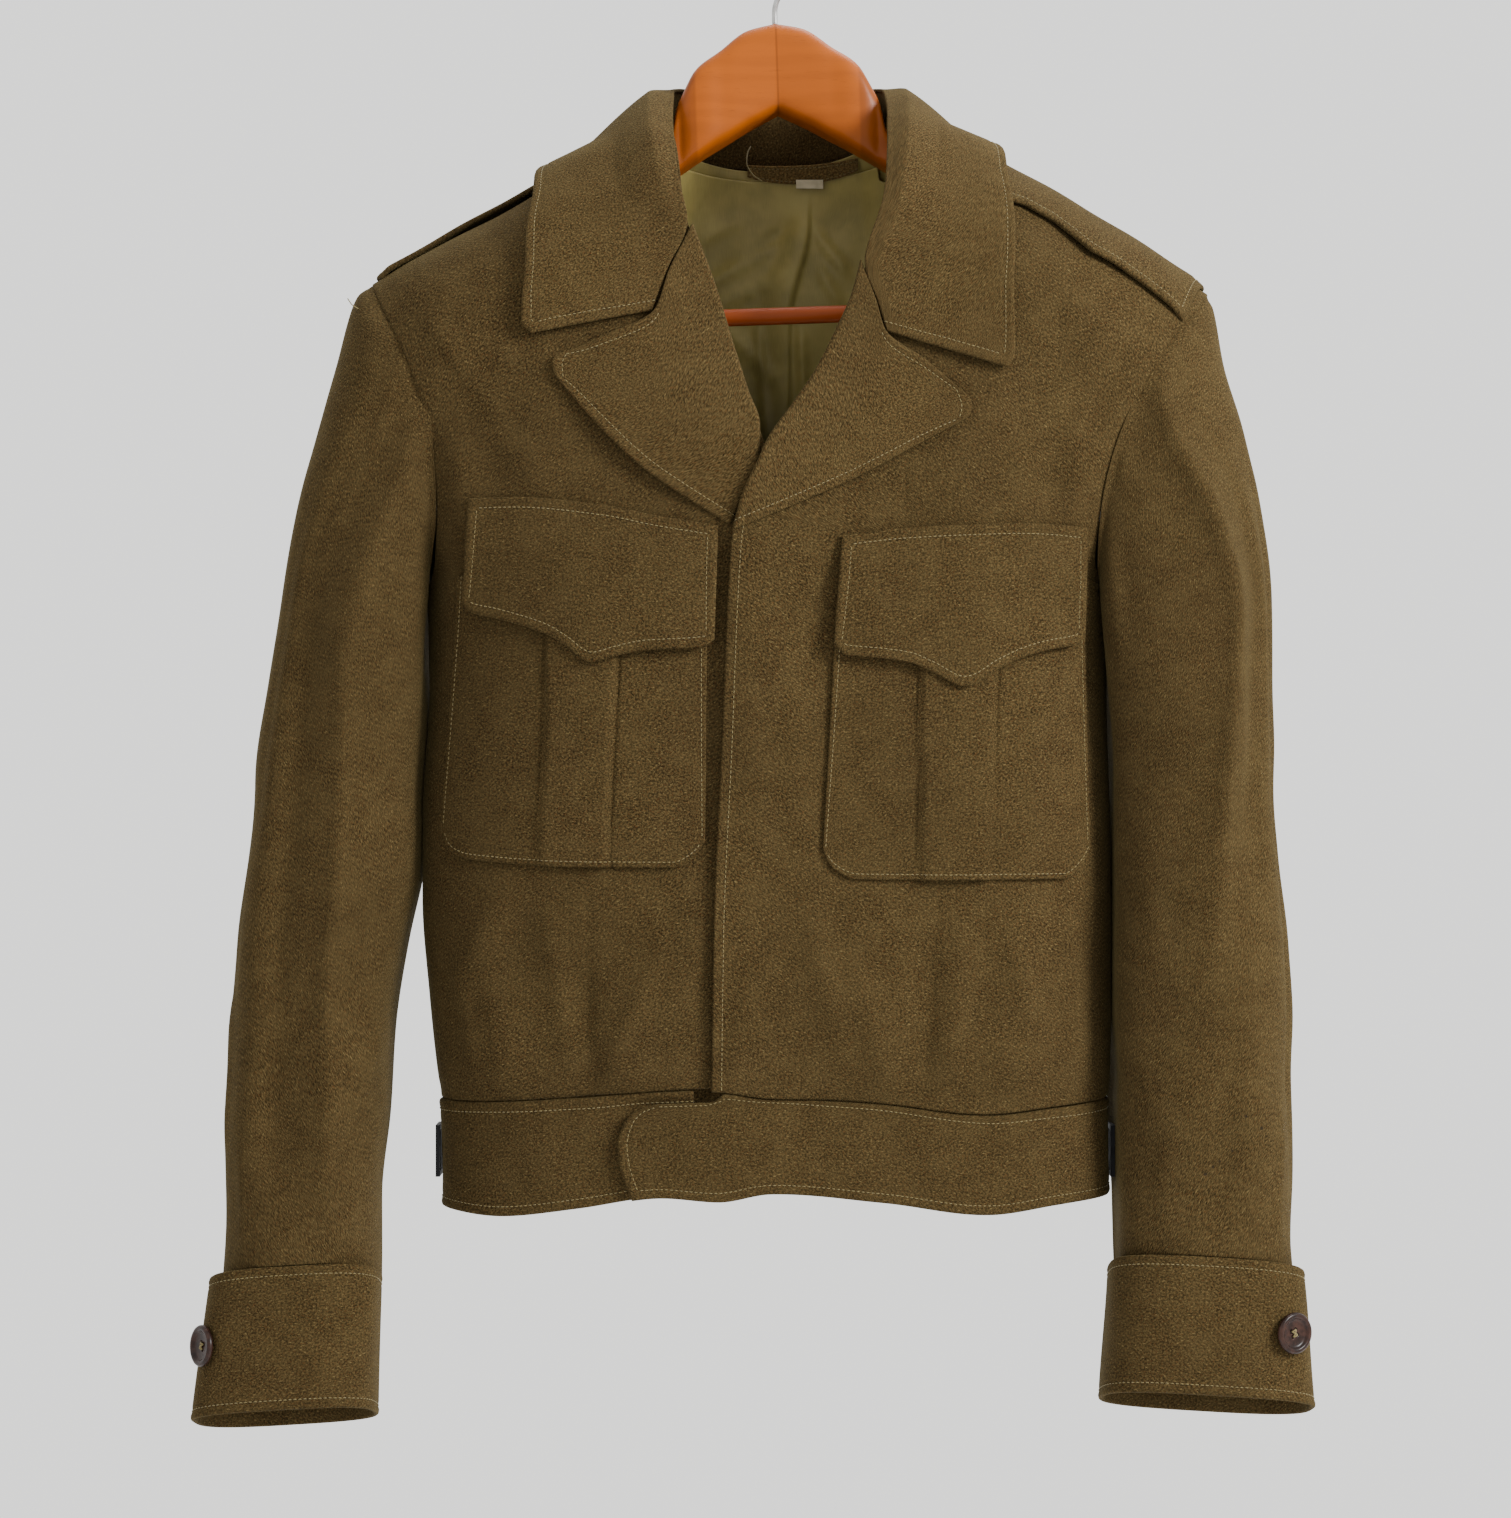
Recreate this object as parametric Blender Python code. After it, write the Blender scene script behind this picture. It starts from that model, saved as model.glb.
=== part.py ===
"""Ike jacket on a wooden hanger.

Sizes are in millimetres and become metres when a mesh is made. +Z is up, the front
faces -Y and +X is the wearer's left. The origin is the inside top of the hook.
The body of the jacket is one smooth surface; panels, pockets, straps and bands are
grids of its points, moved out along its normal, with a wall behind each.
"""
import math

import bpy
import numpy as np

MM = 0.001

# Driving sizes
SEAM_GAP = 0.4
WAIST_GAP = 0.9
LAY_GAP = 1.2
CLOTH = 2.0
DOUBLE_CLOTH = 2.5
POCKET_CLOTH = 1.8
BAND_CLOTH = 3.0
LINING = 1.0
SHOULDER_ROUND = 80.0
UNDERARM = -396.0
WAIST_SEAM = -684.0
PLEAT_RISE = 1.8
LAP_RISE = 6.0
HANGER_TILT = math.radians(2.0)
BUTTON_WIDTH = 23.5
BUTTON_THICK = 4.0
HOOK_WIRE = 3.2
HOOK_BEND = 21.6
BAR_WIDTH = 10.0


def table(columns, *rows):
    """Return an array for each named column."""
    values = np.array(rows, dtype=float)
    return {name: values[:, place] for place, name in enumerate(columns.split())}


def smooth(places, values, at):
    """Read a curve through the given values that never overshoots them."""
    order = np.argsort(places)
    places, values = np.asarray(places, float)[order], np.asarray(values, float)[order]
    step = np.diff(places)
    slope = np.diff(values) / step
    tangent = np.zeros_like(values)
    tangent[0], tangent[-1] = slope[0], slope[-1]
    product = slope[:-1] * slope[1:]
    total = np.where(product > 0, slope[:-1] + slope[1:], 1.0)
    tangent[1:-1] = np.where(product > 0, 2 * product / total, 0.0)
    at = np.clip(at, places[0], places[-1])
    cell = np.clip(np.searchsorted(places, at) - 1, 0, len(step) - 1)
    t = (at - places[cell]) / step[cell]
    start = values[cell] * (1 + 2 * t) * (1 - t) ** 2 + values[cell + 1] * t * t * (3 - 2 * t)
    bend = tangent[cell] * t * (1 - t) ** 2 + tangent[cell + 1] * t * t * (t - 1)
    return start + bend * step[cell]


def read(rows, column, at):
    """Read a table's column at places of its first column."""
    first = next(iter(rows))
    return smooth(rows[first], rows[column], np.asarray(at, float))


def ease(value):
    """Go from 0 to 1 without a corner as the value does."""
    value = np.clip(value, 0, 1)
    return value * value * (3 - 2 * value)


# The body: half widths on the viewer's left and right, depths before and behind the
# shoulder line, and how square the section is
BODY = table(
    "height left right front back square",
    (-60, 285, 300, 56, 60, 3.0),
    (-140, 275, 292, 66, 68, 3.0),
    (-220, 258, 275, 76, 72, 3.2),
    (-290, 238, 250, 80, 74, 3.4),
    (-345, 217, 222, 80, 72, 3.4),
    (-396, 200, 196, 78, 70, 3.3),
    (-450, 199, 195, 75, 67, 3.2),
    (-520, 203, 197, 71, 63, 3.1),
    (-570, 203, 198, 69, 61, 3.0),
    (-625, 199, 198, 66, 59, 2.9),
    (-672, 194, 197, 64, 57, 2.8),
    (-684, 192, 196, 61, 55, 2.8),
    (-748, 191, 196, 59, 54, 2.8),
)

# The shoulder line, from the viewer's left tip over the neck to the right tip
RIDGE = table(
    "across height depth",
    (-262, -230, -6),
    (-232, -213, -4),
    (-180, -184, 0),
    (-133, -157.5, 3),
    (-95, -136, 5),
    (-62, -117, 6),
    (0, -92, 6),
    (68, -112, 6),
    (95, -126, 5),
    (128, -143, 3),
    (180, -173, 0),
    (254, -219, -4),
    (280, -236, -6),
)

# The fronts' inner edges: neck, roll line, then the closing edge
EDGE_RIGHT = table(
    "height across",
    (-116, -62),
    (-136, -55),
    (-185, -48),
    (-203, -41),
    (-231, -31),
    (-255, -24),
    (-283, -15),
    (-304, -7),
    (-313, -4),
    (-335, 8),
    (-684, 8),
)
EDGE_LEFT = table(
    "height across",
    (-112, 68),
    (-123, 66.5),
    (-152, 66),
    (-179, 63),
    (-203, 56),
    (-231, 45),
    (-250, 37),
    (-272, 26),
    (-291, 13),
    (-309, 0),
    (-324, -7),
    (-341, -15),
    (-361, -22),
    (-408, -25),
    (-483, -28),
    (-568, -32),
    (-684, -34),
)

# Half widths of the armholes, before and behind, on each side
ARMHOLE = table(
    "height front_left back_left front_right back_right",
    (-396, 200, 200, 196, 196),
    (-376, 193, 197, 184.5, 191),
    (-345, 190.5, 197, 187, 193),
    (-313, 192.5, 201, 194.5, 202),
    (-277, 201, 210, 211, 217),
    (-248, 213.5, 221, 229, 233),
    (-232, 222, 226, 243, 245),
    (-219, 229, 230, 254, 254),
    (-213, 232, 232, 258, 258),
)
TIP = {-1: 232.0, 1: 254.0}
ARMHOLE_STEPS = 10
SIDE_STEPS = 12

# The seam above the waistband and the hem below it
WAIST = table(
    "across seam hem",
    (-195, -686, -748),
    (-160, -684.5, -750),
    (-110, -681, -744),
    (-62, -677, -737),
    (-30, -676, -739),
    (0, -680, -735),
    (60, -684, -740),
    (125, -691, -748),
    (160, -688, -744),
    (198, -685, -741),
)

# Large soft folds of the panels: from one place to another, half width and rise
FOLDS = table(
    "face from_across from_height to_across to_height width rise",
    (-1, -176, -262, -150, -336, 17, -4.0),
    (-1, -186, -300, -178, -410, 14, 4.0),
    (-1, 176, -268, 150, -350, 18, -4.5),
    (-1, 172, -290, 186, -420, 15, 4.0),
    (-1, -20, -566, -104, -664, 20, 3.5),
    (-1, -112, -600, -100, -682, 10, -3.0),
    (-1, -168, -575, -150, -676, 16, 4.0),
    (-1, 12, -590, 60, -672, 20, 3.5),
    (-1, 86, -588, 84, -682, 10, -3.0),
    (-1, 150, -590, 128, -676, 18, 4.0),
    (1, -150, -230, -120, -400, 26, -3.5),
    (1, 150, -235, 118, -410, 26, -3.5),
    (1, -60, -560, -90, -676, 20, 5.0),
    (1, 20, -540, 10, -680, 22, 4.0),
    (1, 96, -555, 120, -678, 20, 5.0),
)


def side_width(side, z):
    """Half width of the body at a height, on one side."""
    return np.where(side < 0, read(BODY, "left", z), read(BODY, "right", z))


def fullness(x, z):
    """1 in the middle of the body, 0 at its side seams and over the shoulder line."""
    spread = 1 - np.abs(x / side_width(x, z)) ** read(BODY, "square", z)
    below = read(RIDGE, "height", x) - z
    return spread * (1 - np.clip(1 - below / SHOULDER_ROUND, 0, None) ** 2)


def body_depth(x, z, face):
    """Y of the front (-1) or back (+1) of the body."""
    depth = read(BODY, "front" if face < 0 else "back", z)
    return read(RIDGE, "depth", x) + face * depth * np.sqrt(np.clip(fullness(x, z), 0, None))


def body_level(point):
    """Negative inside the body, zero on it and positive outside."""
    x, y, z = np.moveaxis(point, -1, 0)
    out = y - read(RIDGE, "depth", x)
    depth = np.where(out < 0, read(BODY, "front", z), read(BODY, "back", z))
    return (out / depth) ** 2 - fullness(x, z)


def body_slope(point):
    """How fast the level grows along X, Y and Z."""
    step = 0.01
    shifts = step * np.eye(3)
    parts = [body_level(point + s) - body_level(point - s) for s in shifts]
    return np.stack(parts, axis=-1) / (2 * step)


def body_normal(point):
    """Unit vector out of the body."""
    slope = body_slope(point)
    return slope / np.linalg.norm(slope, axis=-1, keepdims=True)


def clear_of_body(point, room):
    """Move points out until they stand a given room off the body."""
    for _ in range(6):
        slope = body_slope(point)
        steep = np.linalg.norm(slope, axis=-1)
        off = body_level(point) / steep
        push = np.clip(room - off, 0, 12)
        point = point + slope / steep[..., None] * push[..., None]
    return point


def fold_rise(x, z, face):
    """Sum of the soft folds at a place of the front or back."""
    rise = np.zeros(np.broadcast(x, z).shape)
    for which, x0, z0, x1, z1, width, height in zip(*FOLDS.values()):
        if which != face:
            continue
        run = np.hypot(x1 - x0, z1 - z0)
        along = ((x - x0) * (x1 - x0) + (z - z0) * (z1 - z0)) / run / run
        off = ((x - x0) * (z1 - z0) - (z - z0) * (x1 - x0)) / run
        ends = ease(1.5 - 1.5 * np.abs(2 * along - 1) + 0.3)
        rise += height * ends * np.exp(-(off / width) ** 2)
    return rise * ease((armhole_reach(x, z, face) - np.abs(x)) / 24)


def armhole_reach(x, z, face):
    """How far from the middle the body runs: to the armhole, or to the side below it."""
    high = np.maximum(z, UNDERARM)
    edge = np.where(x < 0, -armhole(-1, face, high), armhole(1, face, high))
    return np.where(z > UNDERARM, edge, side_width(x, z))


def lap(x, z):
    """How far the left front stands off the right one near its closing edge."""
    return LAP_RISE * ease((50 - x) / 70) * ease((-272 - z) / 60)


def on_body(x, z, face, lift=0.0):
    """Points on the front or back of the body, moved out by a lift."""
    point = np.stack([x, body_depth(x, z, face), z], axis=-1)
    rise = lift + fold_rise(x, z, face)
    return point + body_normal(point) * np.asarray(rise)[..., None]


def over_shoulder(x, arc, lift):
    """Points at a distance before (-) or behind (+) the shoulder line, moved out."""
    face = np.sign(arc)
    drop = np.linspace(0, 1, 81)[:, None, None] ** 2 * 70
    height = read(RIDGE, "height", x) - drop
    wide = np.broadcast_to(x, height.shape)
    depth = np.where(face < 0, body_depth(wide, height, -1), body_depth(wide, height, 1))
    path = np.stack([wide, depth, height], axis=-1)
    run = np.linalg.norm(np.diff(path, axis=0), axis=-1)
    run = np.concatenate([np.zeros((1,) + x.shape), np.cumsum(run, axis=0)])
    point = np.empty(x.shape + (3,))
    for place in np.ndindex(x.shape):
        reach = abs(arc[place])
        for axis in range(3):
            spot = (slice(None),) + place
            point[place + (axis,)] = np.interp(reach, run[spot], path[spot + (axis,)])
    return point + body_normal(point) * np.asarray(lift)[..., None]


def make(name, vertices, faces, material):
    """Turn points in millimetres and faces into a named, shaded object."""
    mesh = bpy.data.meshes.new(name)
    mesh.from_pydata((np.asarray(vertices) * MM).tolist(), [], faces)
    mesh.validate()
    mesh.shade_smooth()
    mesh.set_sharp_from_angle(angle=math.radians(50))
    mesh.materials.append(material)
    item = bpy.data.objects.new(name, mesh)
    bpy.context.collection.objects.link(item)
    return item


def grid_normal(grid, closed):
    """Unit normals of a grid, from the steps to its neighbours."""
    if closed:
        across = np.roll(grid, -1, 1) - np.roll(grid, 1, 1)
    else:
        across = np.gradient(grid, axis=1)
    normal = np.cross(across, np.gradient(grid, axis=0))
    return normal / np.linalg.norm(normal, axis=-1, keepdims=True)


def wall(name, outer, thickness, material, inward=None, closed=False):
    """Make a wall from its outer grid: an inner grid behind it and a rim between."""
    if inward is None:
        inward = -grid_normal(outer, closed)
    inner = outer + inward * thickness
    rows, columns = outer.shape[:2]
    points = np.concatenate([outer.reshape(-1, 3), inner.reshape(-1, 3)])
    index = np.arange(rows * columns).reshape(rows, columns)
    back = index + rows * columns
    faces = []
    last = columns if closed else columns - 1
    for r in range(rows - 1):
        for c in range(last):
            d = (c + 1) % columns
            ring = (index[r, c], index[r, d], index[r + 1, d], index[r + 1, c])
            for three in across_shorter(points, ring):
                faces.append(three)
                faces.append([corner + rows * columns for corner in three[::-1]])
    for c in range(last):
        d = (c + 1) % columns
        faces.append((index[0, d], index[0, c], back[0, c], back[0, d]))
        faces.append((index[-1, c], index[-1, d], back[-1, d], back[-1, c]))
    if not closed:
        for r in range(rows - 1):
            faces.append((index[r, 0], index[r + 1, 0], back[r + 1, 0], back[r, 0]))
            faces.append((index[r + 1, -1], index[r, -1], back[r, -1], back[r + 1, -1]))
    faces = [tuple(int(corner) for corner in face) for face in faces]
    return make(name, points, outward(points, faces), material)


def across_shorter(points, ring):
    """Two triangles from four corners, split across the shorter diagonal."""
    a, b, c, d = ring
    if np.linalg.norm(points[a] - points[c]) < np.linalg.norm(points[b] - points[d]):
        return (a, b, c), (a, c, d)
    return (a, b, d), (b, c, d)


def outward(points, faces):
    """Turn all faces over if they enclose a negative volume."""
    volume = 0.0
    for face in faces:
        first = points[face[0]]
        for second, third in zip(face[1:], face[2:]):
            volume += np.dot(first, np.cross(points[second], points[third]))
    if volume < 0:
        return [face[::-1] for face in faces]
    return faces


def stack(name, rings, material):
    """Make a solid from closed rings of points, with flat ends."""
    count, sides = rings.shape[:2]
    points = rings.reshape(-1, 3)
    faces = [tuple(range(sides))[::-1], tuple(range((count - 1) * sides, count * sides))]
    for r in range(count - 1):
        for c in range(sides):
            d = (c + 1) % sides
            low, high = r * sides, (r + 1) * sides
            faces.append((low + c, low + d, high + d, high + c))
    return make(name, points, outward(points, faces), material)


def fill(top, bottom, start, end, rows=None):
    """Fill four edges with a grid; its rows are even or spaced as given."""
    rows = np.linspace(0, 1, len(start)) if rows is None else rows
    u = np.linspace(0, 1, len(top))[None, :, None]
    v = rows[:, None, None]
    sides = (1 - u) * start[:, None] + u * end[:, None]
    ends = (1 - v) * top[None] + v * bottom[None]
    corners = (1 - u) * ((1 - v) * top[0] + v * bottom[0])
    corners = corners + u * ((1 - v) * top[-1] + v * bottom[-1])
    return sides + ends - corners


def closer_at_top(count):
    """Rows from 0 to 1, close together at the top."""
    row = np.linspace(0, 1, count)
    return 1.2 * row * row / (row + 0.2)


def turn_of(x, z):
    """Angle round the body's section, 90 degrees at its side."""
    return np.arcsin(np.clip(x / side_width(x, z), -1, 1))


def across_of(turn, z):
    """X at an angle round the body's section."""
    return side_width(turn, z) * np.sin(turn)


def seam_turn(side):
    """Angle of a side seam's edge, half a gap short of the side."""
    return side * (math.pi / 2 - SEAM_GAP / 2 / 85)


def armhole(side, face, z):
    """X of the armhole's edge at a height."""
    column = ("front_" if face < 0 else "back_") + ("left" if side < 0 else "right")
    return side * read(ARMHOLE, column, z)


def armhole_heights(side):
    """Heights down an armhole, closer together at the tip and the underarm."""
    top = float(read(RIDGE, "height", side * TIP[side]))
    even = np.linspace(0, 1, ARMHOLE_STEPS + 1)
    closer = (1 - np.cos(math.pi * even)) / 2
    return top + (UNDERARM - top) * (0.6 * closer + 0.4 * even)


def panel_rows(side):
    """Rows of a panel from 0 to 1: down the armhole, then down the side seam."""
    z = armhole_heights(side)
    bottom = float(read(WAIST, "seam", side * 195)) + WAIST_GAP / 2
    z = np.concatenate([z, np.linspace(UNDERARM, bottom, SIDE_STEPS + 1)[1:]])
    return (z - z[0]) / (bottom - z[0]), z


def outer_edge(side, face):
    """Angle and height down the armhole and the side seam."""
    z = panel_rows(side)[1]
    turn = turn_of(armhole(side, face, np.maximum(z, UNDERARM)), z)
    turn = np.where(z > UNDERARM, turn, seam_turn(side))
    return np.stack([side * np.minimum(np.abs(turn), abs(seam_turn(side))), z], axis=-1)


def front_grid(side, edge, columns):
    """Angles and heights of one front, from its inner edge to its armhole and side."""
    rows = panel_rows(side)[0]
    rows = (rows + np.linspace(0, 1, len(rows))) / 2
    neck = edge["height"][0]
    seam = float(read(WAIST, "seam", edge["across"][-1])) + WAIST_GAP / 2
    z = neck + (seam - neck) * rows
    start = np.stack([turn_of(read(edge, "across", z), z), z], axis=-1)
    end = outer_edge(side, -1)
    x = np.linspace(edge["across"][0], side * TIP[side], columns)
    height = read(RIDGE, "height", x)
    top = np.stack([turn_of(x, height), height], axis=-1)
    turn = np.linspace(start[-1, 0], end[-1, 0], columns)
    height = read(WAIST, "seam", across_of(turn, WAIST_SEAM)) + WAIST_GAP / 2
    bottom = np.stack([turn, height], axis=-1)
    start[0], end[0] = top[0], top[-1]
    start[-1], end[-1] = bottom[0], bottom[-1]
    return fill(top, bottom, start, end)


def panel(name, places, face, material, rise=None):
    """Make a front or back from angles and heights."""
    turn, z = places[..., 0], places[..., 1]
    x = across_of(turn, z)
    z = np.minimum(z, read(RIDGE, "height", x) - 0.0004)
    point = on_body(x, z, face, 0.0)
    normal = body_normal(np.stack([x, body_depth(x, z, face), z], axis=-1))
    if rise is not None:
        point = point + normal * rise(x, z)[..., None]
    point[0, :, 1] += face * SEAM_GAP / 2 * (np.abs(normal[0, :, 2]) > 0.5)
    return wall(name, point, CLOTH, material, inward=-normal)


def fronts(wool):
    """The two fronts; the left one laps over the right."""
    panel("front_right", front_grid(-1, EDGE_RIGHT, 15), -1, wool)
    panel("front_left", front_grid(1, EDGE_LEFT, 17), -1, wool, lap)


def back(wool):
    """The back, in one piece, with the hollow of the neck at its top."""
    rows = (panel_rows(-1)[0] + panel_rows(1)[0]) / 2
    left, right = outer_edge(-1, 1), outer_edge(1, 1)
    neck_left, neck_right, drop = -62.0, 68.0, 19.0
    x = np.concatenate([
        np.linspace(-TIP[-1], neck_left, 7),
        np.linspace(neck_left, neck_right, 9)[1:],
        np.linspace(neck_right, TIP[1], 7)[1:],
    ])
    middle = (x - neck_left) / (neck_right - neck_left)
    hollow = np.sqrt(np.clip(4 * middle * (1 - middle), 0, None))
    line = np.interp(x, [neck_left, neck_right], read(RIDGE, "height", [neck_left, neck_right]))
    inside = (x > neck_left) & (x < neck_right)
    height = np.where(inside, line - drop * hollow, read(RIDGE, "height", x))
    top = np.stack([turn_of(x, height), height], axis=-1)
    turn = np.linspace(left[-1, 0], right[-1, 0], len(x))
    height = read(WAIST, "seam", across_of(turn, WAIST_SEAM)) + WAIST_GAP / 2
    bottom = np.stack([turn, height], axis=-1)
    left[0], right[0], left[-1], right[-1] = top[0], top[-1], bottom[0], bottom[-1]
    places = fill(top, bottom, left, right, rows)
    inner = 1 - np.abs(np.linspace(-1, 1, len(x))) ** 6
    places[..., 1] += inner * (even_heights(places[..., 1]) - places[..., 1])
    panel("back_panel", places, 1, wool)


def even_heights(z):
    """Heights of a grid's rows, made even from the top row to the bottom one."""
    share = np.linspace(0, 1, len(z))[:, None]
    return z[0] + (z[-1] - z[0]) * share


# The sleeves' rails: outer and inner edges seen from the front, front and back
SLEEVE = table(
    "height left_out left_in right_out right_in front back",
    (-211, 232, 200, 254, 196, 30, 30),
    (-220, 243, 200, 261, 196, 40, 38),
    (-231, 247, 200, 264, 196, 46, 44),
    (-259, 253, 199, 267, 194, 54, 50),
    (-300, 265, 197, 278, 190, 60, 54),
    (-348, 275, 196, 283, 187, 64, 57),
    (-396, 283, 195, 287, 186, 66, 58),
    (-440, 290, 197, 288, 186, 67, 58),
    (-492, 297, 203, 289, 187, 66, 56),
    (-540, 303, 205, 293, 188, 65, 52),
    (-592, 310, 212, 298, 190, 64, 44),
    (-640, 313, 219, 300, 191, 62, 36),
    (-690, 316, 222, 300, 191, 61, 27),
    (-740, 316, 227, 300, 194, 60, 20),
    (-800, 318, 227, 303, 195, 59, 15),
)
SLEEVE_SQUARE = 2.5

# Creases of the sleeves: share of a turn from the outer edge towards the front,
# heights of their ends, half width as a share of a turn, and rise
CREASES = table(
    "side turn top bottom lean width rise",
    (-1, 0.130, -236, -600, 0.02, 0.030, 3.5),
    (-1, 0.060, -500, -640, 0.01, 0.025, -3.0),
    (-1, 0.400, -560, -660, -0.14, 0.050, -5.0),
    (-1, 0.420, -640, -740, -0.16, 0.050, 4.5),
    (-1, 0.250, -430, -560, 0.10, 0.060, -3.0),
    (-1, 0.750, -450, -620, 0.10, 0.060, -4.0),
    (-1, 0.200, -660, -760, 0.05, 0.040, -3.0),
    (1, 0.150, -240, -470, 0.03, 0.030, 3.5),
    (1, 0.050, -420, -740, 0.00, 0.025, -3.0),
    (1, 0.330, -440, -600, 0.06, 0.060, -4.0),
    (1, 0.250, -600, -740, -0.06, 0.060, 3.5),
    (1, 0.750, -430, -640, -0.10, 0.060, -4.0),
    (1, 0.400, -660, -760, -0.05, 0.050, -3.5),
)

# The cuffs: seam and hem heights with their slopes, and the ring's edges
CUFF = {
    -1: dict(seam=-787.0, hem=-868.0, out=(322, 333), into=(225, 227), front=59, back=16),
    1: dict(seam=-782.0, hem=-860.0, out=(305, 312), into=(194, 189), front=60, back=17),
}
CUFF_LEAN_BACK = -0.33
CUFF_LEAN_OUT = -0.06
CUFF_SQUARE = 2.9


def power(value, exponent):
    """Signed power, for rings between a circle and a box."""
    return np.sign(value) * np.abs(value) ** exponent


def cuff_plane(side, level, x, y):
    """Height of the tilted plane of a cuff's seam or hem."""
    middle_x = side * (sum(CUFF[side]["out"]) + sum(CUFF[side]["into"])) / 4
    middle_y = (CUFF[side]["back"] - CUFF[side]["front"]) / 2
    return level + CUFF_LEAN_BACK * (y - middle_y) + CUFF_LEAN_OUT * side * (x - middle_x)


def in_cuff_plane(side, inward):
    """Lay directions into a cuff's tilted plane."""
    lean = CUFF_LEAN_BACK * inward[..., 1] + CUFF_LEAN_OUT * side * inward[..., 0]
    return np.stack([inward[..., 0], inward[..., 1], lean], axis=-1)


def armhole_ring(side, turn):
    """Points of an armhole's edge: tip, front, underarm, back."""
    z = np.interp(turn, np.linspace(0, 1, 2 * ARMHOLE_STEPS + 1),
                  np.concatenate([armhole_heights(side), armhole_heights(side)[-2::-1]]))
    before = turn <= 0.5
    x = np.where(before, armhole(side, -1, z), armhole(side, 1, z))
    return np.stack([x, np.where(before, body_depth(x, z, -1), body_depth(x, z, 1)), z], axis=-1)


def sleeve_grid(side, turns, count):
    """Rings of a sleeve, from the armhole to the cuff."""
    key = "left" if side < 0 else "right"
    rows = closer_at_top(count)[:, None]
    turn = np.broadcast_to(turns, (count, len(turns)))
    cosine, sine = np.cos(2 * math.pi * turn), np.sin(2 * math.pi * turn)
    top = float(read(RIDGE, "height", side * TIP[side]))
    end = CUFF[side]["seam"]
    out_z = top + (end - top) * rows
    in_z = UNDERARM + (end - UNDERARM) * rows
    z = (out_z + in_z) / 2 + power(cosine, 2 / SLEEVE_SQUARE) * (out_z - in_z) / 2
    room = 1.3 + 2.7 * ease((UNDERARM - in_z) / 45) + 4 * ease((-630 - in_z) / 50)
    inner_mid = np.maximum(read(BODY, key, in_z) + room, read(SLEEVE, key + "_in", in_z))
    outer = read(SLEEVE, key + "_out", out_z)
    half, middle = (outer - inner_mid) / 2, (outer + inner_mid) / 2
    across = middle + half * power(cosine, 2 / SLEEVE_SQUARE)
    wrap = np.where(cosine < 0, 4 * (sine * cosine) ** 2, 0)
    across = across - (inner_mid - read(SLEEVE, key + "_in", in_z)) * wrap
    depth = np.where(sine > 0, -read(SLEEVE, "front", z), read(SLEEVE, "back", z))
    y = depth * np.abs(power(sine, 2 / SLEEVE_SQUARE))
    ring = np.stack([side * across, y, z], axis=-1)
    seam_ring = armhole_ring(side, turns)
    away = armhole_away(side, turns, seam_ring)
    fade = (1 - ease(closer_at_top(count) / 0.28))[:, None, None]
    under = ease(-np.cos(2 * math.pi * turns))[:, None]
    apart = away * (1 - 0.7 * under) + body_normal(seam_ring) * under
    ring = ring + fade * (seam_ring + apart * SEAM_GAP * (1 + 3.6 * under) - ring[0])
    ring = ring + crease_rise(side, turn, z)[..., None] * side_out(ring)
    off_body = np.minimum(room, 4.0) * ease((0.5 - cosine) / 0.5)
    off_body[0] = 0
    ring[1:] = clear_of_body(ring[1:], off_body[1:] - 8 * (cosine[1:] >= 0.5))
    low = cuff_plane(side, end, ring[..., 0], ring[..., 1]) + SEAM_GAP / 2
    bend = ease((UNDERARM - in_z) / (UNDERARM - end)) * np.ones_like(low)
    ring[..., 2] = ring[..., 2] + bend * (low - end)
    return ring, away


def side_out(ring):
    """Level unit vectors out of each ring's middle."""
    out = ring - ring.mean(axis=1, keepdims=True)
    out[..., 2] = 0
    return out / np.linalg.norm(out, axis=-1, keepdims=True)


def armhole_away(side, turns, ring):
    """Unit vectors along the body's surface, out of the armhole's edge."""
    along = np.roll(ring, -1, 0) - np.roll(ring, 1, 0)
    away = np.cross(body_normal(ring), along) * side
    return away / np.linalg.norm(away, axis=-1, keepdims=True)


def crease_rise(side, turn, z):
    """Sum of a sleeve's creases."""
    rise = np.zeros(np.broadcast(turn, z).shape)
    for which, at, top, bottom, lean, width, height in zip(*CREASES.values()):
        if which != side:
            continue
        along = (top - z) / (top - bottom)
        off = turn - at - lean * along
        ends = ease(1.5 - 1.5 * np.abs(2 * along - 1) + 0.2)
        rise += height * ends * np.exp(-(off / width) ** 2)
    return rise


def sleeve(side, name, wool):
    """An open tube from the armhole to the cuff."""
    turns = np.arange(2 * ARMHOLE_STEPS) / (2 * ARMHOLE_STEPS)
    ring, away = sleeve_grid(side, turns, 21)
    inward = -grid_normal(ring, True)
    middle = ring.mean(axis=1, keepdims=True)
    if np.sum(inward[8] * (middle - ring)[8]) < 0:
        inward = -inward
    back_part = np.minimum(np.sum(inward[0] * away, axis=-1, keepdims=True), 0)
    inward[0] = inward[0] - away * back_part
    inward[0] /= np.linalg.norm(inward[0], axis=-1, keepdims=True)
    inward[-1] = in_cuff_plane(side, inward[-1])
    return wall(name, ring, CLOTH, wool, inward=inward, closed=True)


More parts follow.
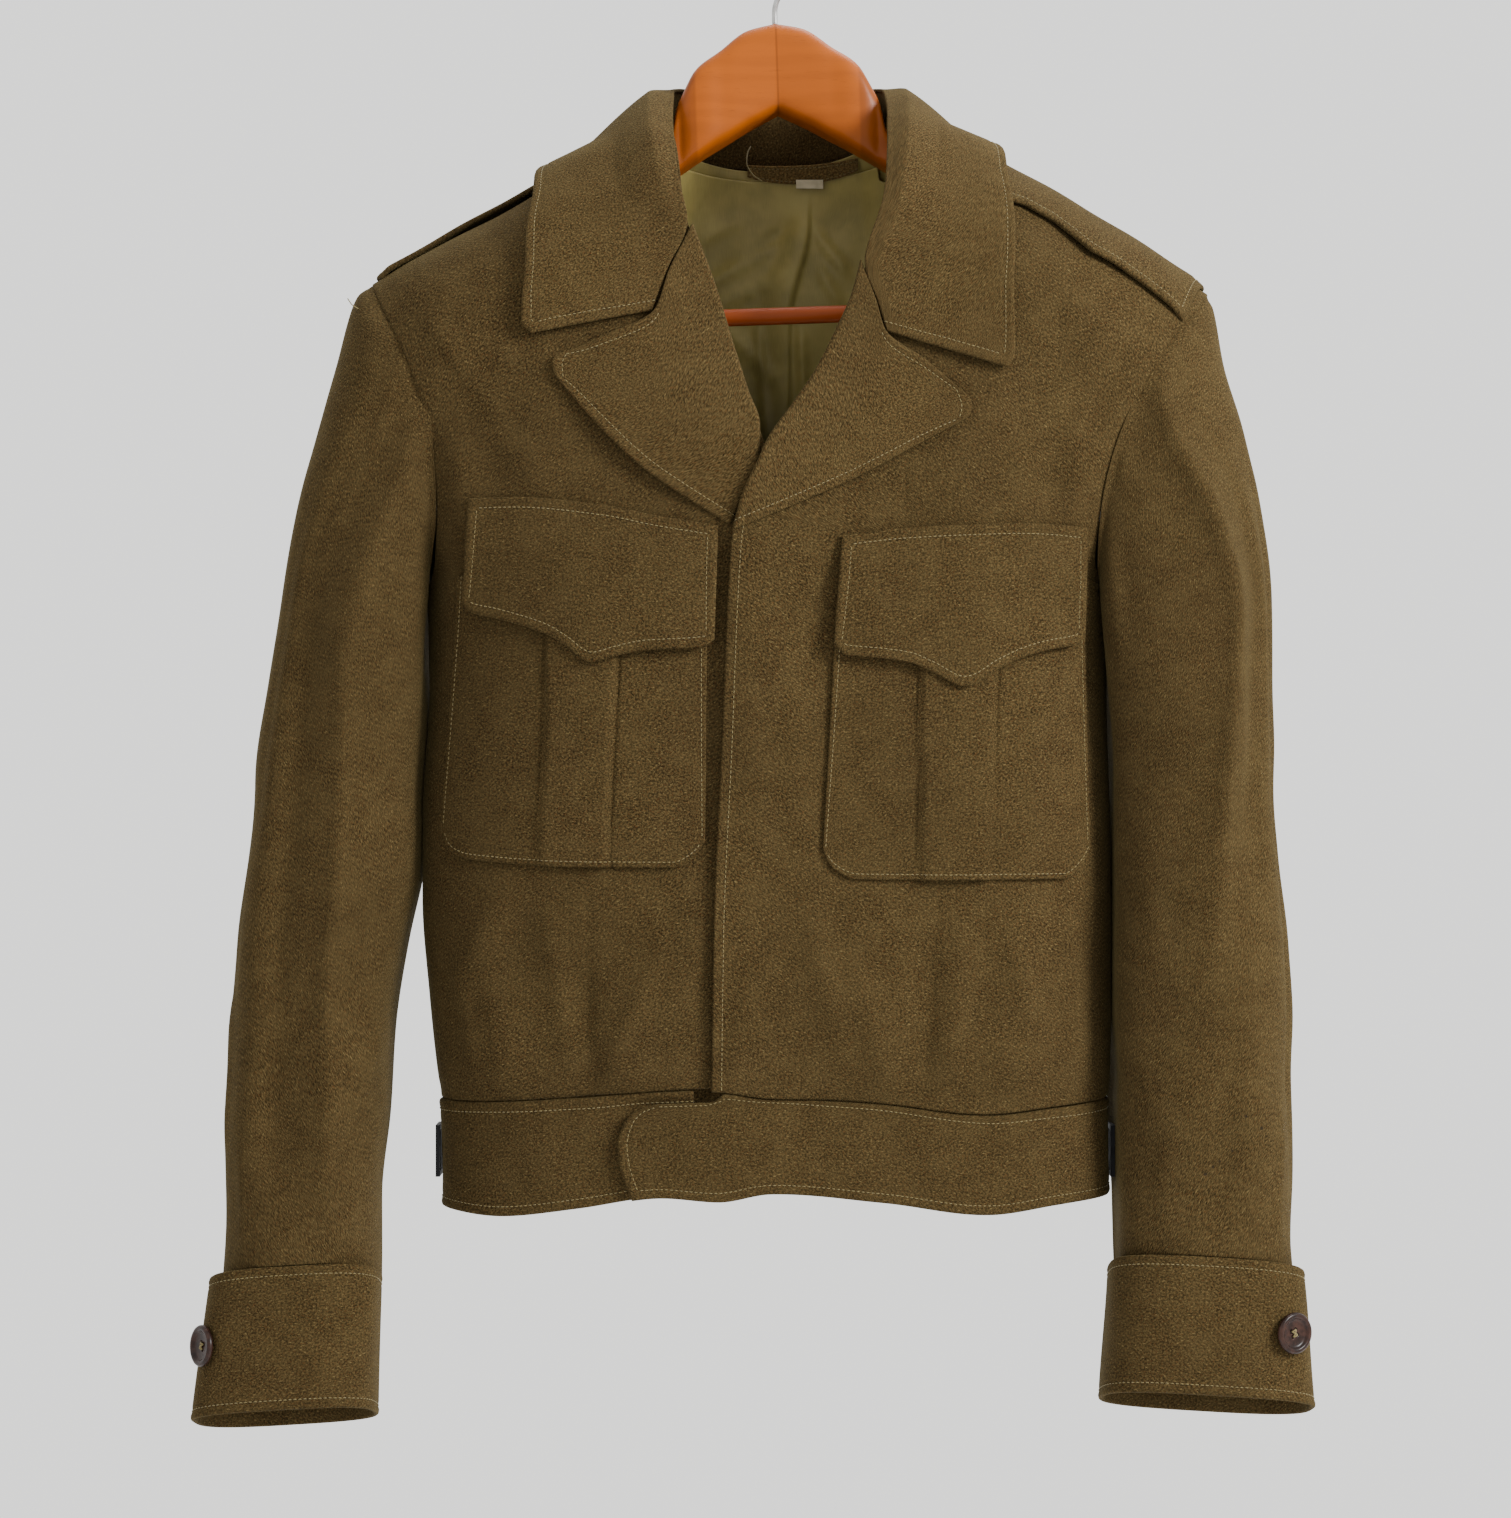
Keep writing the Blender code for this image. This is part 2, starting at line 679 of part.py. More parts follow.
def cuff_grid(side, turns, heights):
    """Rings of a cuff; heights run from 0 at the seam to 1 at the hem."""
    size = CUFF[side]
    share = heights[:, None]
    cosine, sine = np.cos(2 * math.pi * turns), np.sin(2 * math.pi * turns)
    out = size["out"][0] + (size["out"][1] - size["out"][0]) * share
    into = size["into"][0] + (size["into"][1] - size["into"][0]) * share
    x = side * ((out + into) / 2 + (out - into) / 2 * power(cosine, 2 / CUFF_SQUARE))
    depth = np.where(sine > 0, -size["front"], size["back"])
    middle = (size["back"] - size["front"]) / 2
    y = middle + (depth - middle) * np.abs(power(sine, 2 / CUFF_SQUARE)) + 0 * share
    level = size["seam"] - SEAM_GAP / 2 + (size["hem"] - size["seam"]) * share
    return np.stack([x, y, cuff_plane(side, level, x, y)], axis=-1)


def cuff(side, name, wool):
    """A band of doubled cloth round the wrist."""
    grid = cuff_grid(side, np.arange(20) / 20, np.linspace(0, 1, 4))
    inward = -grid_normal(grid, True)
    if np.sum(inward[1] * (grid.mean(axis=1, keepdims=True) - grid)[1]) < 0:
        inward = -inward
    wall(name, grid, BAND_CLOTH, wool, inward=in_cuff_plane(side, inward), closed=True)


# A cuff button's rim and dish, from the middle of its back round to the front
BUTTON = table(
    "radius rise",
    (0.86, 0.0),
    (1.0, 0.35),
    (1.0, 0.75),
    (0.9, 1.0),
    (0.76, 0.95),
    (0.66, 0.62),
)


def frame_at(point, normal):
    """Two unit vectors across a normal, the first one level."""
    level = np.cross([0, 0, 1], normal)
    level /= np.linalg.norm(level)
    return level, np.cross(normal, level)


def button(side, name, at_turn, at_share, plastic):
    """A four-hole coat button, sewn to the cuff's outer side."""
    step = 0.01
    turns = np.array([at_turn - step, at_turn, at_turn + step])
    near = cuff_grid(side, turns, np.array([at_share - step, at_share, at_share + step]))
    normal = np.cross(near[1, 2] - near[1, 0], near[2, 1] - near[0, 1])
    normal /= np.linalg.norm(normal)
    if normal[0] * side < 0:
        normal = -normal
    level, up = frame_at(near[1, 1], normal)
    seat = near[1, 1] + normal * 0.6
    angle = np.linspace(0, 2 * math.pi, 20, endpoint=False)
    rings = []
    for radius, rise in zip(*BUTTON.values()):
        circle = np.cos(angle)[:, None] * level + np.sin(angle)[:, None] * up
        rings.append(seat + circle * radius * BUTTON_WIDTH / 2 + normal * rise * BUTTON_THICK)
    stack(name, np.array(rings), plastic)


# Lapel outlines seen from the front: roll line, upper edge with its notch, tip, lower edge
LAPELS = {
    "lapel_right": dict(
        side=-1,
        roll=[(-45.5, -190.5), (-41, -203), (-31.5, -231), (-24.5, -255), (-15.5, -283),
              (-9, -302), (-9.5, -324), (-17.5, -341), (-24, -353)],
        upper=[(-45.5, -190.5), (-56, -216), (-64.5, -240), (-92, -253), (-113, -262.4)],
        tip=[(-113, -262.4), (-120.8, -267.5), (-116.5, -275)],
        low=[(-24, -353), (-41, -348), (-70.5, -328), (-96, -302), (-116.5, -275)],
    ),
    "lapel_left": dict(
        side=1,
        roll=[(50.4, -211), (45.5, -231), (37.5, -250), (26.5, -272), (13.5, -291),
              (0.5, -309), (-6.5, -324), (-14.5, -341), (-20, -354)],
        upper=[(50.4, -211), (57, -234), (62.2, -251), (86, -266), (104.5, -280.2)],
        tip=[(104.5, -280.2), (111.8, -287), (107.5, -294)],
        low=[(-20, -354), (5.6, -350), (33.6, -339), (70.6, -322), (107.5, -294)],
    ),
}


def run_of(points, count):
    """Even places along a curve through points."""
    points = np.array(points, float)
    reach = np.concatenate([[0], np.cumsum(np.linalg.norm(np.diff(points, axis=0), axis=1))])
    at = np.linspace(0, reach[-1], count)
    return np.stack([smooth(reach, points[:, axis], at) for axis in (0, 1)], axis=-1)


def lapel(name, shape, wool):
    """A doubled flap that lies on its front from the roll line out."""
    columns, rows = 12, 10
    places = fill(
        run_of(shape["upper"], columns),
        run_of(shape["low"], columns),
        run_of(shape["roll"], rows),
        run_of(shape["tip"], rows),
    )
    x, z = places[..., 0], places[..., 1]
    share = np.linspace(0, 1, columns)[None, :]
    lift = DOUBLE_CLOTH + SEAM_GAP + 0.3 + 2.0 * np.sin(math.pi * share) ** 2 + 1.6 * share
    if shape["side"] > 0:
        lift = lift + lap(x, z)
    point = on_body(x, z, -1, lift)
    wall(name, point, DOUBLE_CLOTH, wool, inward=-body_normal(point))


# The collar from the middle of the back to its front end: fold, outer edge and the
# seam at the neck, for the viewer's left and right
COLLAR_LEFT = table(
    "place fold_x fold_y fold_z edge_x edge_y edge_z seam_x seam_z",
    (0, 4, 62, -94, 4, 88, -152, 4, -133.4),
    (1, -28, 55, -92, -62, 86, -158, -28, -132.4),
    (2, -47, 36, -91, -112, 50, -168, -53, -126),
    (3, -57, 10, -96, -131, 4, -152, -62, -117),
    (4, -57, -20, -114, -133, -40, -176, -60.3, -119.5),
    (5, -55.4, -48, -138, -134.5, -50, -200, -57, -131),
    (6, -52.5, -64, -162, -136, -60, -220, -55, -145),
    (7, -47.5, -73, -188, -138, -60, -236, -50, -180),
    (8, -58, -72, -214, -138.5, -60, -245, -50, -180),
    (9, -66.8, -72, -238.5, -133, -60, -252, -50, -180),
)
COLLAR_RIGHT = table(
    "place fold_x fold_y fold_z edge_x edge_y edge_z seam_x seam_z",
    (0, 4, 62, -94, 4, 88, -152, 4, -133.4),
    (1, 37, 55, -92, 66, 86, -156, 37, -129.4),
    (2, 56, 36, -91, 112, 50, -160, 59, -121.5),
    (3, 65, 10, -96, 129, 4, -138, 68, -112),
    (4, 66.5, -22, -112, 131, -40, -166, 67.7, -114.5),
    (5, 65.8, -48, -134, 132.5, -50, -196, 66.5, -127),
    (6, 63.5, -66, -168, 134, -60, -228, 66, -150),
    (7, 52, -74, -210, 134.5, -60, -252, 58, -195),
    (8, 58.8, -72, -233, 134, -60, -264, 58, -195),
    (9, 64, -72, -250.5, 130.5, -60, -271, 58, -195),
)
STAND_END = 3.9
FOLD_ROOM = 5.4
FOLD_REACH = 7.5


def collar_line(rows, prefix, places):
    """One of the collar's lines, as points."""
    return np.stack([read(rows, prefix + axis, places) for axis in "_x _y _z".split()], axis=-1)


def collar_path(prefix, count):
    """A line of the collar from its right front end round the back to its left one."""
    left = collar_line(COLLAR_LEFT, prefix, np.linspace(9, 0, count))
    right = collar_line(COLLAR_RIGHT, prefix, np.linspace(0, 9, count))
    return np.concatenate([left, right[1:]])


def collar(wool):
    """The fallen leaf, and the stand that carries it round the neck."""
    half = 16
    fold, edge = collar_path("fold", half), collar_path("edge", half)
    share = np.array([0, 0.035, 0.1, 0.2, 0.36, 0.56, 0.78, 1.0])[None, :, None]
    grid = (1 - share) * fold[:, None] + share * edge[:, None]
    place = np.abs(np.linspace(-9, 9, 2 * half - 1))[:, None, None]
    crown = FOLD_REACH * ease(share / 0.1) * (1 - ease((share - 0.1) / 0.9)) * ease((7.4 - place) / 3)
    middle = np.array([4.0, 8.0, 0.0])
    out = (grid - middle) * [1, 1, 0]
    out /= np.linalg.norm(out, axis=-1, keepdims=True)
    grid = grid + out * crown + [0, 0, 1] * crown * 0.55
    near_ridge = ease(1.6 - np.abs(grid[..., 1] - 3) / 40)
    strap_room = 4.4 * near_ridge * ease((np.abs(grid[..., 0] - 4) - 84) / 12)
    grid = clear_of_body(grid, DOUBLE_CLOTH + 1.2 + strap_room + 2.5 * share[..., 0])
    wall("collar_leaf", grid, DOUBLE_CLOTH, wool, inward=leaf_inward(grid))
    left, right = np.linspace(STAND_END, 0, 12), np.linspace(0, STAND_END, 12)[1:]
    top = np.concatenate([
        collar_line(COLLAR_LEFT, "fold", left),
        collar_line(COLLAR_RIGHT, "fold", right),
    ])
    seam = np.concatenate([neck_seam(COLLAR_LEFT, left), neck_seam(COLLAR_RIGHT, right)])
    rise = top - seam
    tall = np.linalg.norm(rise, axis=-1, keepdims=True)
    top = seam + rise * (1 - FOLD_ROOM / tall)
    share = np.linspace(0, 1, 4)[None, :, None]
    stand = (1 - share) * top[:, None] + share * seam[:, None]
    out = (top - middle) * [1, 1, 0]
    out /= np.linalg.norm(out, axis=-1, keepdims=True)
    wall("collar_stand", stand, CLOTH, wool, inward=np.broadcast_to(out[:, None], stand.shape))


def neck_seam(rows, places):
    """The line where the stand is sewn to the panels, just off their surface."""
    x, z = read(rows, "seam_x", places), read(rows, "seam_z", places)
    face = np.where(places < 3, 1, -1)
    y = np.where(face > 0, body_depth(x, z, 1), body_depth(x, z, -1))
    return clear_of_body(np.stack([x, y, z], axis=-1), 1.05)


def leaf_inward(grid):
    """Directions into the leaf's cloth, towards the body."""
    normal = grid_normal(grid, False)
    away = normal * np.sign(np.sum(normal * body_normal(grid), axis=-1, keepdims=True))
    return -away


# Pockets: corners and lines seen from the front, and the flap's lower edge
POCKETS = {
    "right": dict(
        top=[(-171, -342), (-147, -342), (-94, -347), (-64, -353), (-30, -358.5)],
        flap=[(-175, -400), (-170, -406), (-154, -410), (-127, -418.5), (-115, -425.5),
              (-101, -434.5), (-87, -431), (-71.5, -428), (-39, -426), (-32, -422)],
        body_top=[(-178, -384), (-36, -396)],
        body_low=[(-189, -528), (-184, -541), (-172, -546), (-110, -549.5), (-56, -550),
                  (-44, -544), (-37.5, -535)],
        pleat=[(-124.8, -84.5), (-131, -93.5)],
    ),
    "left": dict(
        top=[(39, -364), (73, -360), (116, -357.5), (144.5, -356.5), (179, -357.5)],
        flap=[(34.5, -424), (41, -430.5), (62, -432.5), (77, -434.7), (90, -440),
              (107.5, -448), (127, -438), (140, -432), (153, -428), (172, -424), (178, -420)],
        body_top=[(36, -402), (178, -396)],
        body_low=[(28.5, -540), (34, -550), (48, -556.5), (110, -557), (166, -557),
                  (177, -549), (182, -540)],
        pleat=[(82.4, 126.6), (84, 122.7)],
    ),
}
POCKET_LIFT = POCKET_CLOTH + LAY_GAP
FLAP_LIFT = DOUBLE_CLOTH + LAY_GAP / 2


def pocket(which, rows, wool):
    """A patch pocket with a raised box pleat down its middle."""
    columns, count = 19, 6
    high = run_of(rows["body_top"], columns)
    low = run_of(rows["body_low"], columns)
    start = np.linspace(high[0], low[0], count)
    end = np.linspace(high[-1], low[-1], count)
    places = fill(high, low, start, end)
    x, z = places[..., 0], places[..., 1]
    share = np.linspace(0, 1, count)[:, None]
    (left0, right0), (left1, right1) = rows["pleat"]
    left = left0 + (left1 - left0) * share
    right = right0 + (right1 - right0) * share
    raised = ease((x - left) / 8 + 0.5) * ease((right - x) / 8 + 0.5)
    lift = POCKET_LIFT + PLEAT_RISE * raised
    if which == "left":
        lift = lift + lap(x, z)
    point = on_body(x, z, -1, lift)
    wall("pocket_" + which, point, POCKET_CLOTH, wool, inward=-body_normal(point))


def pocket_flap(which, rows, wool):
    """A pointed flap that falls over the pocket's mouth."""
    columns, count = 15, 5
    high, low = run_of(rows["top"], columns), run_of(rows["flap"], columns)
    start = np.linspace(high[0], low[0], count)
    end = np.linspace(high[-1], low[-1], count)
    places = fill(high, low, start, end)
    x, z = places[..., 0], places[..., 1]
    share = np.linspace(0, 1, count)[:, None]
    over_pocket = POCKET_LIFT + PLEAT_RISE + 0.4
    lift = FLAP_LIFT + over_pocket * ease(share / 0.45) + 1.0 * share
    if which == "left":
        lift = lift + lap(x, z)
    point = on_body(x, z, -1, lift)
    wall("pocket_flap_" + which, point, DOUBLE_CLOTH, wool, inward=-body_normal(point))


# Shoulder straps: from the armhole to under the collar, before and behind the ridge
STRAPS = {
    "shoulder_strap_right": dict(tip=-230.0, neck=-104.0, before=-12.0, behind=34.0),
    "shoulder_strap_left": dict(tip=252.0, neck=104.0, before=-38.0, behind=10.0),
}


def strap(name, size, wool):
    """A doubled strap laid along the shoulder line."""
    x = np.linspace(size["tip"], size["neck"], 9)[:, None]
    arc = np.linspace(size["before"], size["behind"], 8)[None, :]
    share = np.linspace(0, 1, x.shape[0])[:, None]
    x = x - np.sign(x) * (1 - share) * (2 + 0.55 * np.abs(arc))
    arc = arc + 0 * x
    point = over_shoulder(x, arc, np.full(x.shape, BAND_CLOTH + 1.0))
    wall(name, point, BAND_CLOTH, wool, inward=-body_normal(point))


# The tab's end, seen from the front: how far in the band is cut at each height share
TAB_END = table(
    "share cut",
    (0.0, 23),
    (0.08, 9),
    (0.2, 3),
    (0.4, 0),
    (0.6, 1),
    (0.8, 4),
    (1.0, 8),
)
TAB_REACH = -87.0
BAND_END = -44.0


def band(name, face, turns_at, material, end_cut=None, rise=0.0):
    """A stretch of waistband between two angles of the body's section."""
    shares = np.linspace(0, 1, 5)[:, None]
    turn = np.broadcast_to(turns_at, (5, len(turns_at))).copy()
    if end_cut is not None:
        first = across_of(turn[:, 0], np.full(5, WAIST_SEAM)) + end_cut
        last = across_of(turn[:, -1], np.full(5, WAIST_SEAM))
        spread = np.linspace(0, 1, len(turns_at)) ** 1.3
        x = first[:, None] + (last - first)[:, None] * spread
        turn = turn_of(x, np.full_like(x, WAIST_SEAM))
        turn[:, -1] = turns_at[-1]
    middle = across_of(turn, np.full_like(turn, WAIST_SEAM))
    seam = read(WAIST, "seam", middle) - WAIST_GAP / 2
    if end_cut is not None:
        seam = np.where(middle < EDGE_LEFT["across"][-1] + 4, seam - 5.5, seam)
    z = seam + (read(WAIST, "hem", middle) - seam) * shares
    x = across_of(turn, z)
    base = np.stack([x, body_depth(x, z, face), z], axis=-1)
    normal = body_normal(base)
    lift = 1.0 + (rise(x) if callable(rise) else rise)
    point = base + normal * np.asarray(lift + 0 * x)[..., None]
    wall(name, point, BAND_CLOTH, material, inward=-normal)


def tab_rise(x):
    """The left band stands off the right one where it laps over it."""
    return 5.0 * ease((20 - x) / 50)


def waistband(wool):
    """Right band, left band with the tab that laps over it, and the back band."""
    at = WAIST_SEAM
    tab = float(turn_of(np.array(TAB_REACH), at))
    under = float(turn_of(np.array(BAND_END), at))
    cut = read(TAB_END, "cut", np.linspace(0, 1, 5))
    side = seam_turn(1)
    band("waistband_left", -1, np.linspace(tab, side, 17), wool, end_cut=cut, rise=tab_rise)
    band("waistband_right", -1, np.linspace(-side, under, 9), wool)
    turns = np.linspace(-side, side, 17)
    band("waistband_back", 1, turns, wool)


# Windows of a buckle's plate, as cells of a grid: 1 is metal, 0 is open
BUCKLE_CELLS = [
    [1, 1, 1, 1, 1],
    [1, 0, 1, 0, 1],
    [1, 1, 1, 1, 1],
]
BUCKLE_WIDTHS = [3.0, 24.0, 3.0]
BUCKLE_LENGTHS = [3.0, 5.0, 2.5, 5.0, 3.0]
BUCKLE_THICK = 2.4


def buckle(side, name, metal):
    """A flat slide buckle with two windows, on the side of the waistband."""
    tall = np.cumsum([0] + BUCKLE_WIDTHS)
    long = np.cumsum([0] + BUCKLE_LENGTHS)
    tall, long = tall - tall[-1] / 2, long - long[-1] / 2
    z_middle = -717.0
    base = side * float(side_width(np.array(side), np.array(z_middle)))
    near = base + side * (1.0 + 0.5)
    points, faces = [], []
    for depth in (0, BUCKLE_THICK):
        for high in tall:
            for along in long:
                points.append((near + side * depth, 5.0 + along, z_middle + high))
    wide, layer = len(long), len(tall) * len(long)
    for r, cells in enumerate(BUCKLE_CELLS):
        for c, solid in enumerate(cells):
            if not solid:
                continue
            a, b = r * wide + c, r * wide + c + 1
            d, e = a + wide, b + wide
            faces.append((a, d, e, b))
            faces.append((a + layer, b + layer, e + layer, d + layer))
            for first, second, dr, dc in ((a, b, -1, 0), (b, e, 0, 1), (e, d, 1, 0), (d, a, 0, -1)):
                inside = 0 <= r + dr < len(BUCKLE_CELLS) and 0 <= c + dc < len(cells)
                if inside and BUCKLE_CELLS[r + dr][c + dc]:
                    continue
                faces.append((first, second, second + layer, first + layer))
    points = np.array(points, float)
    make(name, points, outward(points, faces), metal)


def inside_back(satin, wool, cotton):
    """The lining, the half-moon facing and the tab that show through the neck."""
    pleat_at, pleat_width, pleat_rise = 22.0, 12.0, 1.6
    x = np.linspace(-150, 154, 21)[None, :]
    count = 11
    share = np.linspace(0, 1, count)[:, None]
    neck = -128 - 11 * np.sqrt(np.clip(1 - ((x - 4) / 62) ** 2, 0, 1))
    top = np.where(np.abs(x - 4) < 62, neck, read(RIDGE, "height", x) - 26)
    z = top + (WAIST_SEAM + 10 - top) * share
    x = x + 0 * z
    raised = pleat_rise * ease(1.4 - np.abs(x - pleat_at) / pleat_width * 1.4) * ease((share - 0.03) / 0.08)
    slack = 3.0 * ease((share - 0.03) / 0.12) + 1.25
    slack = slack + 3.5 * ease((np.abs(x - 4) - 50) / 14) * (1 - ease(share / 0.3))
    inside_sheet("back_lining", x, z, CLOTH + LINING + slack + raised, satin, follow=True)
    x = np.linspace(-46, 54, 11)[None, :]
    arc = np.sqrt(np.clip(1 - ((x - 4) / 62) ** 2, 0, 1))
    z = (-124 - 11.5 * arc) - (3 + 7 * arc) * np.linspace(0, 1, 3)[:, None]
    at_facing = CLOTH + 2 * LINING + 4.0
    inside_sheet("neck_facing", x + 0 * z, z, at_facing + 0 * z, wool)
    x = np.array([16.0, 22.0, 27.0, 33.0])[None, :]
    z = np.array([-142.0, -150.0])[:, None] + 0 * x
    inside_sheet("label_tab", x + 0 * z, z, at_facing + LINING + 1.0 + 0 * z, cotton)


def inside_sheet(name, x, z, drop, material, follow=False):
    """A thin sheet behind the back panel's inner face."""
    base = np.stack([x, body_depth(x, z, 1), z], axis=-1)
    normal = body_normal(base)
    if follow:
        drop = drop - fold_rise(x, z, 1)
    wall(name, base - normal * drop[..., None], LINING, material, inward=normal)


# The hanger by distance from its middle: upper and lower edge, middle and thickness
HANGER = table(
    "along top bottom depth thick",
    (0, -60, -111, 9, 32),
    (16, -63.5, -119, 9, 33),
    (30, -73, -127, 9, 34),
    (42, -85, -134, 8, 34),
    (50, -99, -139, 8, 33),
    (54.5, -109, -142, 8, 31),
    (58, -125, -144.5, 7, 27),
    (66, -128, -150, 6, 26),
    (100, -141.7, -171, 3, 27),
    (150, -169.7, -205, 0, 26),
    (190, -194.3, -235, -2, 25),
    (208, -210, -241, -3, 22),
    (216, -219, -240, -3, 14),
)
HANGER_SIDES = 12
BAR_HEIGHT = -231.0


def tilt(points):
    """Hang the hanger at its slight tilt about the inside of the hook."""
    x, z = points[..., 0].copy(), points[..., 2].copy()
    turned = points.copy()
    turned[..., 0] = x * math.cos(HANGER_TILT) - z * math.sin(HANGER_TILT)
    turned[..., 2] = z * math.cos(HANGER_TILT) + x * math.sin(HANGER_TILT)
    return turned


def hanger(wood, bar_wood, steel):
    """Wooden arms, the trouser bar between them and the wire hook."""
    along = np.concatenate([-HANGER["along"][::-1], HANGER["along"][1:]])
    angle = np.linspace(0, 2 * math.pi, HANGER_SIDES, endpoint=False) + math.pi / HANGER_SIDES
    rings = []
    for x in along:
        top, bottom, depth, thick = (read(HANGER, key, abs(x)) for key in "top bottom depth thick".split())
        y = depth + thick / 2 * power(np.cos(angle), 2 / 2.6)
        z = (top + bottom) / 2 + (top - bottom) / 2 * power(np.sin(angle), 2 / 2.6)
        rings.append(np.stack([np.full_like(y, x), y, z], axis=-1))
    stack("hanger", tilt(np.array(rings)), wood)
    angle = np.linspace(0, 2 * math.pi, 10, endpoint=False)
    y, z = -1 + BAR_WIDTH / 2 * np.cos(angle), BAR_HEIGHT + BAR_WIDTH / 2 * np.sin(angle)
    end = smooth(HANGER["bottom"], HANGER["along"], z + 0.5)
    rings = [np.stack([share * end, y, z], axis=-1) for share in np.linspace(-1, 1, 9)]
    stack("trouser_bar", tilt(np.array(rings)), bar_wood)
    hook(steel)


def hook(steel):
    """A round wire from the crown up and over in one open bend."""
    middle = np.array([0.0, 0.0, HOOK_WIRE / 2 - HOOK_BEND])
    turn = np.radians(np.linspace(-52, 196, 26))
    bend = np.stack([HOOK_BEND * np.cos(turn), 0 * turn, HOOK_BEND * np.sin(turn)], axis=-1) + middle
    stem = table("height across depth", (-60.2, 2.1, 8), (-52, 2, 6), (-46, 3.4, 3), (-41.5, 7.8, 1))
    z = np.array([-60.2, -55, -51, -47.5, -44.5, -41.8])
    start = np.stack([read(stem, "across", z), read(stem, "depth", z), z], axis=-1)
    path = np.concatenate([start, bend])
    forward = np.gradient(path, axis=0)
    forward /= np.linalg.norm(forward, axis=1, keepdims=True)
    side = np.cross(forward, [0, 1, 0])
    side /= np.linalg.norm(side, axis=1, keepdims=True)
    other = np.cross(side, forward)
    angle = np.linspace(0, 2 * math.pi, 8, endpoint=False)[None, :, None]
    ring = np.cos(angle) * side[:, None] + np.sin(angle) * other[:, None]
    stack("hook", path[:, None] + ring * HOOK_WIRE / 2, steel)


def finish(name, colour, roughness, metallic=0.0):
    """A plain material with the piece's colour."""
    material = bpy.data.materials.new(name)
    material.use_nodes = True
    shader = material.node_tree.nodes["Principled BSDF"]
    shader.inputs["Base Color"].default_value = (*colour, 1)
    shader.inputs["Roughness"].default_value = roughness
    shader.inputs["Metallic"].default_value = metallic
    return material


def main():
    """Clear the scene and make each piece."""
    for item in list(bpy.data.objects):
        bpy.data.objects.remove(item)
    wool = finish("wool_serge", (0.092, 0.067, 0.032), 0.95)
    satin = finish("satin", (0.12, 0.105, 0.045), 0.45)
    cotton = finish("cotton_tape", (0.62, 0.56, 0.42), 0.9)
    horn = finish("button_plastic", (0.03, 0.014, 0.008), 0.25)
    black = finish("blackened_metal", (0.02, 0.02, 0.02), 0.4, 0.6)
    wood = finish("maple", (0.58, 0.19, 0.03), 0.35)
    bar_wood = finish("stained_dowel", (0.26, 0.05, 0.015), 0.3)
    steel = finish("steel_wire", (0.5, 0.5, 0.5), 0.35, 1.0)
    fronts(wool)
    back(wool)
    for side, which, turn in ((-1, "right", 0.095), (1, "left", 0.135)):
        sleeve(side, "sleeve_" + which, wool)
        cuff(side, "cuff_" + which, wool)
        button(side, "cuff_button_" + which, turn, 0.5, horn)
        buckle(side, "side_buckle_" + which, black)
    for name, shape in LAPELS.items():
        lapel(name, shape, wool)
    collar(wool)
    for which, rows in POCKETS.items():
        pocket(which, rows, wool)
        pocket_flap(which, rows, wool)
    for name, size in STRAPS.items():
        strap(name, size, wool)
    waistband(wool)
    inside_back(satin, wool, cotton)
    hanger(wood, bar_wood, steel)


main()
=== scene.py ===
"""Ike jacket on a wooden hanger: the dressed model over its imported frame.

Sizes are in millimetres and become metres when a mesh is made. +Z is up, the front
faces -Y and +X is the wearer's left. The origin is the inside top of the hook.
"""
import math

import bpy
import numpy as np
from bpy.props import FloatProperty, FloatVectorProperty, PointerProperty
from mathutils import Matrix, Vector


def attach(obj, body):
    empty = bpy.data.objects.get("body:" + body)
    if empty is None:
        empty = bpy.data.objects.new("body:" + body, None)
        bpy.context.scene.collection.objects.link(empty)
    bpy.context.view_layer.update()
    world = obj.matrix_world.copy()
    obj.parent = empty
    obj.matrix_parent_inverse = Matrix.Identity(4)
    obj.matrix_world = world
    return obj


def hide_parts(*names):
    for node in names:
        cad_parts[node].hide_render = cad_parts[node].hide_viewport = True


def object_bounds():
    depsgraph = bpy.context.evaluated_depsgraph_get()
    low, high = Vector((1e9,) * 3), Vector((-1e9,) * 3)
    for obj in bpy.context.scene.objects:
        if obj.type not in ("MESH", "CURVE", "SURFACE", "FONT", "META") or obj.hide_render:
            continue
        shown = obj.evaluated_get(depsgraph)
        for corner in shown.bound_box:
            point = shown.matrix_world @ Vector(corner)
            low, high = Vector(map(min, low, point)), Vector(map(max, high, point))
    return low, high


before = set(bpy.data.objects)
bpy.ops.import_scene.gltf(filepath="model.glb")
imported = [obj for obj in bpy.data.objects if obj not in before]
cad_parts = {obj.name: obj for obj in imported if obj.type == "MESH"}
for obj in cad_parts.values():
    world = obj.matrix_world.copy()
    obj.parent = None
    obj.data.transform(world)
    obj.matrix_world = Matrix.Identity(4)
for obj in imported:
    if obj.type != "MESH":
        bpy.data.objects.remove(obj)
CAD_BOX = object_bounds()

bl_info = {
    "name": "Ike jacket",
    "version": (1, 0, 0),
    "blender": (4, 5, 0),
    "location": "3D View > Sidebar > Jacket",
    "description": "Builds a short wool jacket on a wooden hanger",
    "category": "Add Mesh",
}

MM = 0.001
FINISH = {}

# Holes eaten in the left sleeve: across, height and radius
MOTH_HOLES = (
    (266.6, -690, 1.6),
    (275.9, -697, 2.0),
    (248.5, -719, 1.5),
    (244.3, -723, 1.9),
    (252.3, -715.5, 1.5),
    (259.2, -709.5, 1.3),
)

